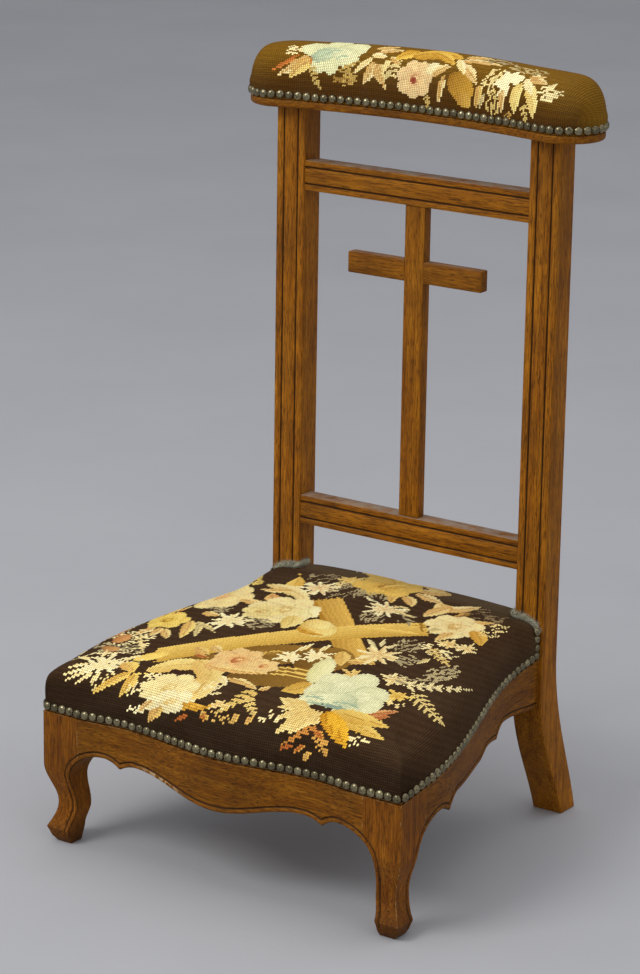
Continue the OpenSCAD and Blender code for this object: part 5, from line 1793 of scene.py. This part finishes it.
def braid_material():
    n = Nodes("dusty_braid")
    fuzz = n.noise(n.coords(), 700, 4, 0.7)
    col = n.ramp(fuzz, [(0.38, (0.14, 0.13, 0.08)), (0.5, (0.48, 0.46, 0.33)), (0.62, (0.80, 0.78, 0.62))])
    n.set("Base Color", col)
    n.set("Roughness", 1.0)
    n.set("Specular IOR Level", 0.08)
    n.set("Normal", n.bump(fuzz, 0.9, 0.0014))
    return n.mat


braid_wool = braid_material()


def seat_top(x, y):
    """Height of the cushion's cover near the posts."""
    d = distance_to(np.array([[x, y]]), seat_edge_line())
    return float(full_z(x, y) - edge_roll(d, SHOULDER, SHOULDER_DROP)[0])


TWIST, FIBRES, FIBRE_R = 5.2, 900, 0.14


def build_braid(side):
    """Three strands twisted round each other, with stray fibres, along the foot of a post."""
    z_mid = seat_top(POST_IN + 12, POST_Y - 3) + 1.0
    path = np.array([(POST_IN - 2.2, POST_Y + 18, 2.6), (POST_IN - 2.4, POST_Y + 6, 2.6),
                     (POST_IN - 1.5, POST_Y - 2.4, 2.4), (POST_IN + 12, POST_Y - 2.9, 0.8),
                     (POST_IN + 24, POST_Y - 2.9, -2.5), (POST_HALF - 7, POST_Y - 3.2, -7.5),
                     (BACK_HALF - 0.2, POST_Y - 4.4, -13.5)]) + (0, 0, z_mid)
    seg = np.concatenate([[0], np.cumsum(np.linalg.norm(np.diff(path, axis=0), axis=1))])
    t = np.linspace(0, seg[-1], 130)
    cen = np.stack([np.interp(t, seg, path[:, i]) for i in range(3)], 1)
    for _ in range(6):
        cen[1:-1] = (cen[:-2] + 2 * cen[1:-1] + cen[2:]) / 4
    tan = np.gradient(cen, axis=0)
    tan /= np.linalg.norm(tan, axis=1)[:, None]
    up = np.array((0.15, 0.2, 1.0))
    sidev = np.cross(tan, up)
    sidev /= np.linalg.norm(sidev, axis=1)[:, None]
    upv = np.cross(sidev, tan)
    verts, faces = [], []
    rng = np.random.default_rng(41)
    for strand in range(3):
        faces += tube(len(verts), len(t), 8)
        for i in range(len(t)):
            a = t[i] / TWIST * 2 * math.pi + strand * 2 * math.pi / 3
            c = cen[i] + sidev[i] * 1.0 * math.cos(a) + upv[i] * 1.9 * math.sin(a)
            r = 0.8 + 1.1 * rng.random()
            for j in range(8):
                b = 2 * math.pi * j / 8
                verts.append(c + sidev[i] * r * 0.85 * math.cos(b) + upv[i] * r * math.sin(b))
    # stray fibres
    for _ in range(FIBRES):
        i = int(rng.integers(2, len(t) - 2))
        a, n = rng.random() * 2 * math.pi, 2.0 + 4.0 * rng.random()
        root = cen[i] + sidev[i] * 1.6 * math.cos(a) + upv[i] * 2.6 * math.sin(a)
        way = sidev[i] * math.cos(a) + upv[i] * (0.4 + math.sin(a)) + tan[i] * rng.normal(0, 0.8)
        way /= np.linalg.norm(way)
        tip = root + way * n
        q = np.cross(way, tan[i])
        q = q / max(np.linalg.norm(q), 1e-6) * FIBRE_R
        p = np.cross(way, q)
        p = p / max(np.linalg.norm(p), 1e-6) * FIBRE_R
        base = len(verts)
        verts += [root + q, root - q * 0.5 + p, root - q * 0.5 - p, tip]
        faces += [tuple(base + i for i in corners) for corners in ((0, 1, 3), (1, 2, 3), (2, 0, 3), (2, 1, 0))]
    ob = make(side + "_braid", *mirrored(side, verts, faces), braid_wool, 70)
    outward(ob)
    return finish_piece(ob, "gimp", side + "_post_gimp")


for s in SIDES:
    build_braid(s)


def dress(node, material):
    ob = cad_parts[node]
    for slot in ob.material_slots:
        slot.material = material


for node in ("front_left_block", "front_right_block", "rear_left_block", "rear_right_block"):
    dress(node, beech)
dress("rail_dowels", plain_wood("dowel_beech", "Z"))
dress("block_screws", steel)
dress("webbing_tacks", metal("blued_tacks", (0.12, 0.12, 0.13), 0.4))

# ---------------------------------------------------------------- floor, light and camera


def floor_material():
    n = Nodes("pale_floor")
    v = n.coords()
    soft = n.noise(v, 2.2, 3, 0.55)
    n.set("Base Color", n.ramp(soft, [(0.3, (0.470, 0.474, 0.497)), (0.7, (0.500, 0.504, 0.526))]))
    n.set("Roughness", 0.95)
    n.set("Specular IOR Level", 0.15)
    n.set("Normal", n.bump(n.noise(v, 9, 4, 0.6, 0.8), 0.25, 0.004))
    return n.mat


# the photograph's camera, solved from its perspective: radians, metres and millimetres of lens
AZ, EL, ROLL = 0.60294893, 0.28252556, 0.01572054
CAMERA_AT, SENSOR, LENS = (1.94206, -2.85144, 1.40829), 36.0, 182.6341875
back = Vector((math.sin(AZ) * math.cos(EL), -math.cos(AZ) * math.cos(EL), math.sin(EL)))
ground_back = Vector((back.x, back.y, 0)).normalized()


def build_backdrop():
    """A floor that sweeps up into a wall a long way behind."""
    across = Vector((-ground_back.y, ground_back.x, 0))
    flat, sweep_r, top = 7, 1.6, 7
    prof = [(-12, 0)] + [(s, 0) for s in np.linspace(-8, flat, 8)]
    turn = np.linspace(0.1, math.pi / 2, 10)
    prof += [(flat + sweep_r * math.sin(a), sweep_r * (1 - math.cos(a))) for a in turn]
    prof += [(flat + sweep_r, top)]
    verts = []
    for s, z in prof:
        for w in (-14, 0, 14):
            p = -ground_back * s + across * w
            verts.append((p.x * 1000, p.y * 1000, z * 1000))
    faces = [(i * 3 + j, i * 3 + j + 1, (i + 1) * 3 + j + 1, (i + 1) * 3 + j)
             for i in range(len(prof) - 1) for j in range(2)]
    ob = make("backdrop", verts, faces, floor_material(), 60)


build_backdrop()


def area_light(name, at, target, size, power, colour):
    data = bpy.data.lights.new(name, "AREA")
    data.shape, data.size, data.size_y = "RECTANGLE", size[0], size[1]
    data.energy, data.color = power, colour
    ob = bpy.data.objects.new(name, data)
    ob.location = at
    ob.rotation_euler = (Vector(target) - Vector(at)).to_track_quat("-Z", "Y").to_euler()
    bpy.context.scene.collection.objects.link(ob)


right = Vector((math.cos(AZ), math.sin(AZ), 0))
key_at = ground_back * 1.6 - right * 2.3 + Vector((0, 0, 2.9))
fill_at = ground_back * 3.0 + right * 2.2 + Vector((0, 0, 2.2))
area_light("key", key_at, (0, 0, 0.35), (1.5, 1.5), 50, (1.0, 0.985, 0.96))
area_light("fill", fill_at, (0, 0, 0.4), (2.4, 2.4), 6, (0.98, 0.99, 1.0))
area_light("top", (0, 0.4, 4.2), (0, 0, 0), (3.5, 3.5), 26, (1, 1, 1))

world = bpy.data.worlds.new("studio")
world.use_nodes = True
bg = world.node_tree.nodes["Background"]
bg.inputs["Color"].default_value = (0.965, 0.972, 1.0, 1)
bg.inputs["Strength"].default_value = 0.60
bpy.context.scene.world = world
bpy.context.scene.view_settings.view_transform = "Standard"


def build_camera():
    forward = -back
    side = forward.cross(Vector((0, 0, 1))).normalized()
    up = side.cross(forward)
    s, c = math.sin(ROLL), math.cos(ROLL)
    r2, u2 = side * c + up * s, up * c - side * s
    data = bpy.data.cameras.new("camera")
    data.sensor_fit, data.sensor_width = "HORIZONTAL", SENSOR
    data.lens = LENS
    data.clip_end = 60
    ob = bpy.data.objects.new("camera", data)
    m = ob.matrix_world.copy()
    for i, col in enumerate((r2, u2, back)):
        for j in range(3):
            m[j][i] = col[j]
    for j, w in enumerate(CAMERA_AT):
        m[j][3] = w
    ob.matrix_world = m
    bpy.context.scene.collection.objects.link(ob)
    bpy.context.scene.camera = ob


build_camera()
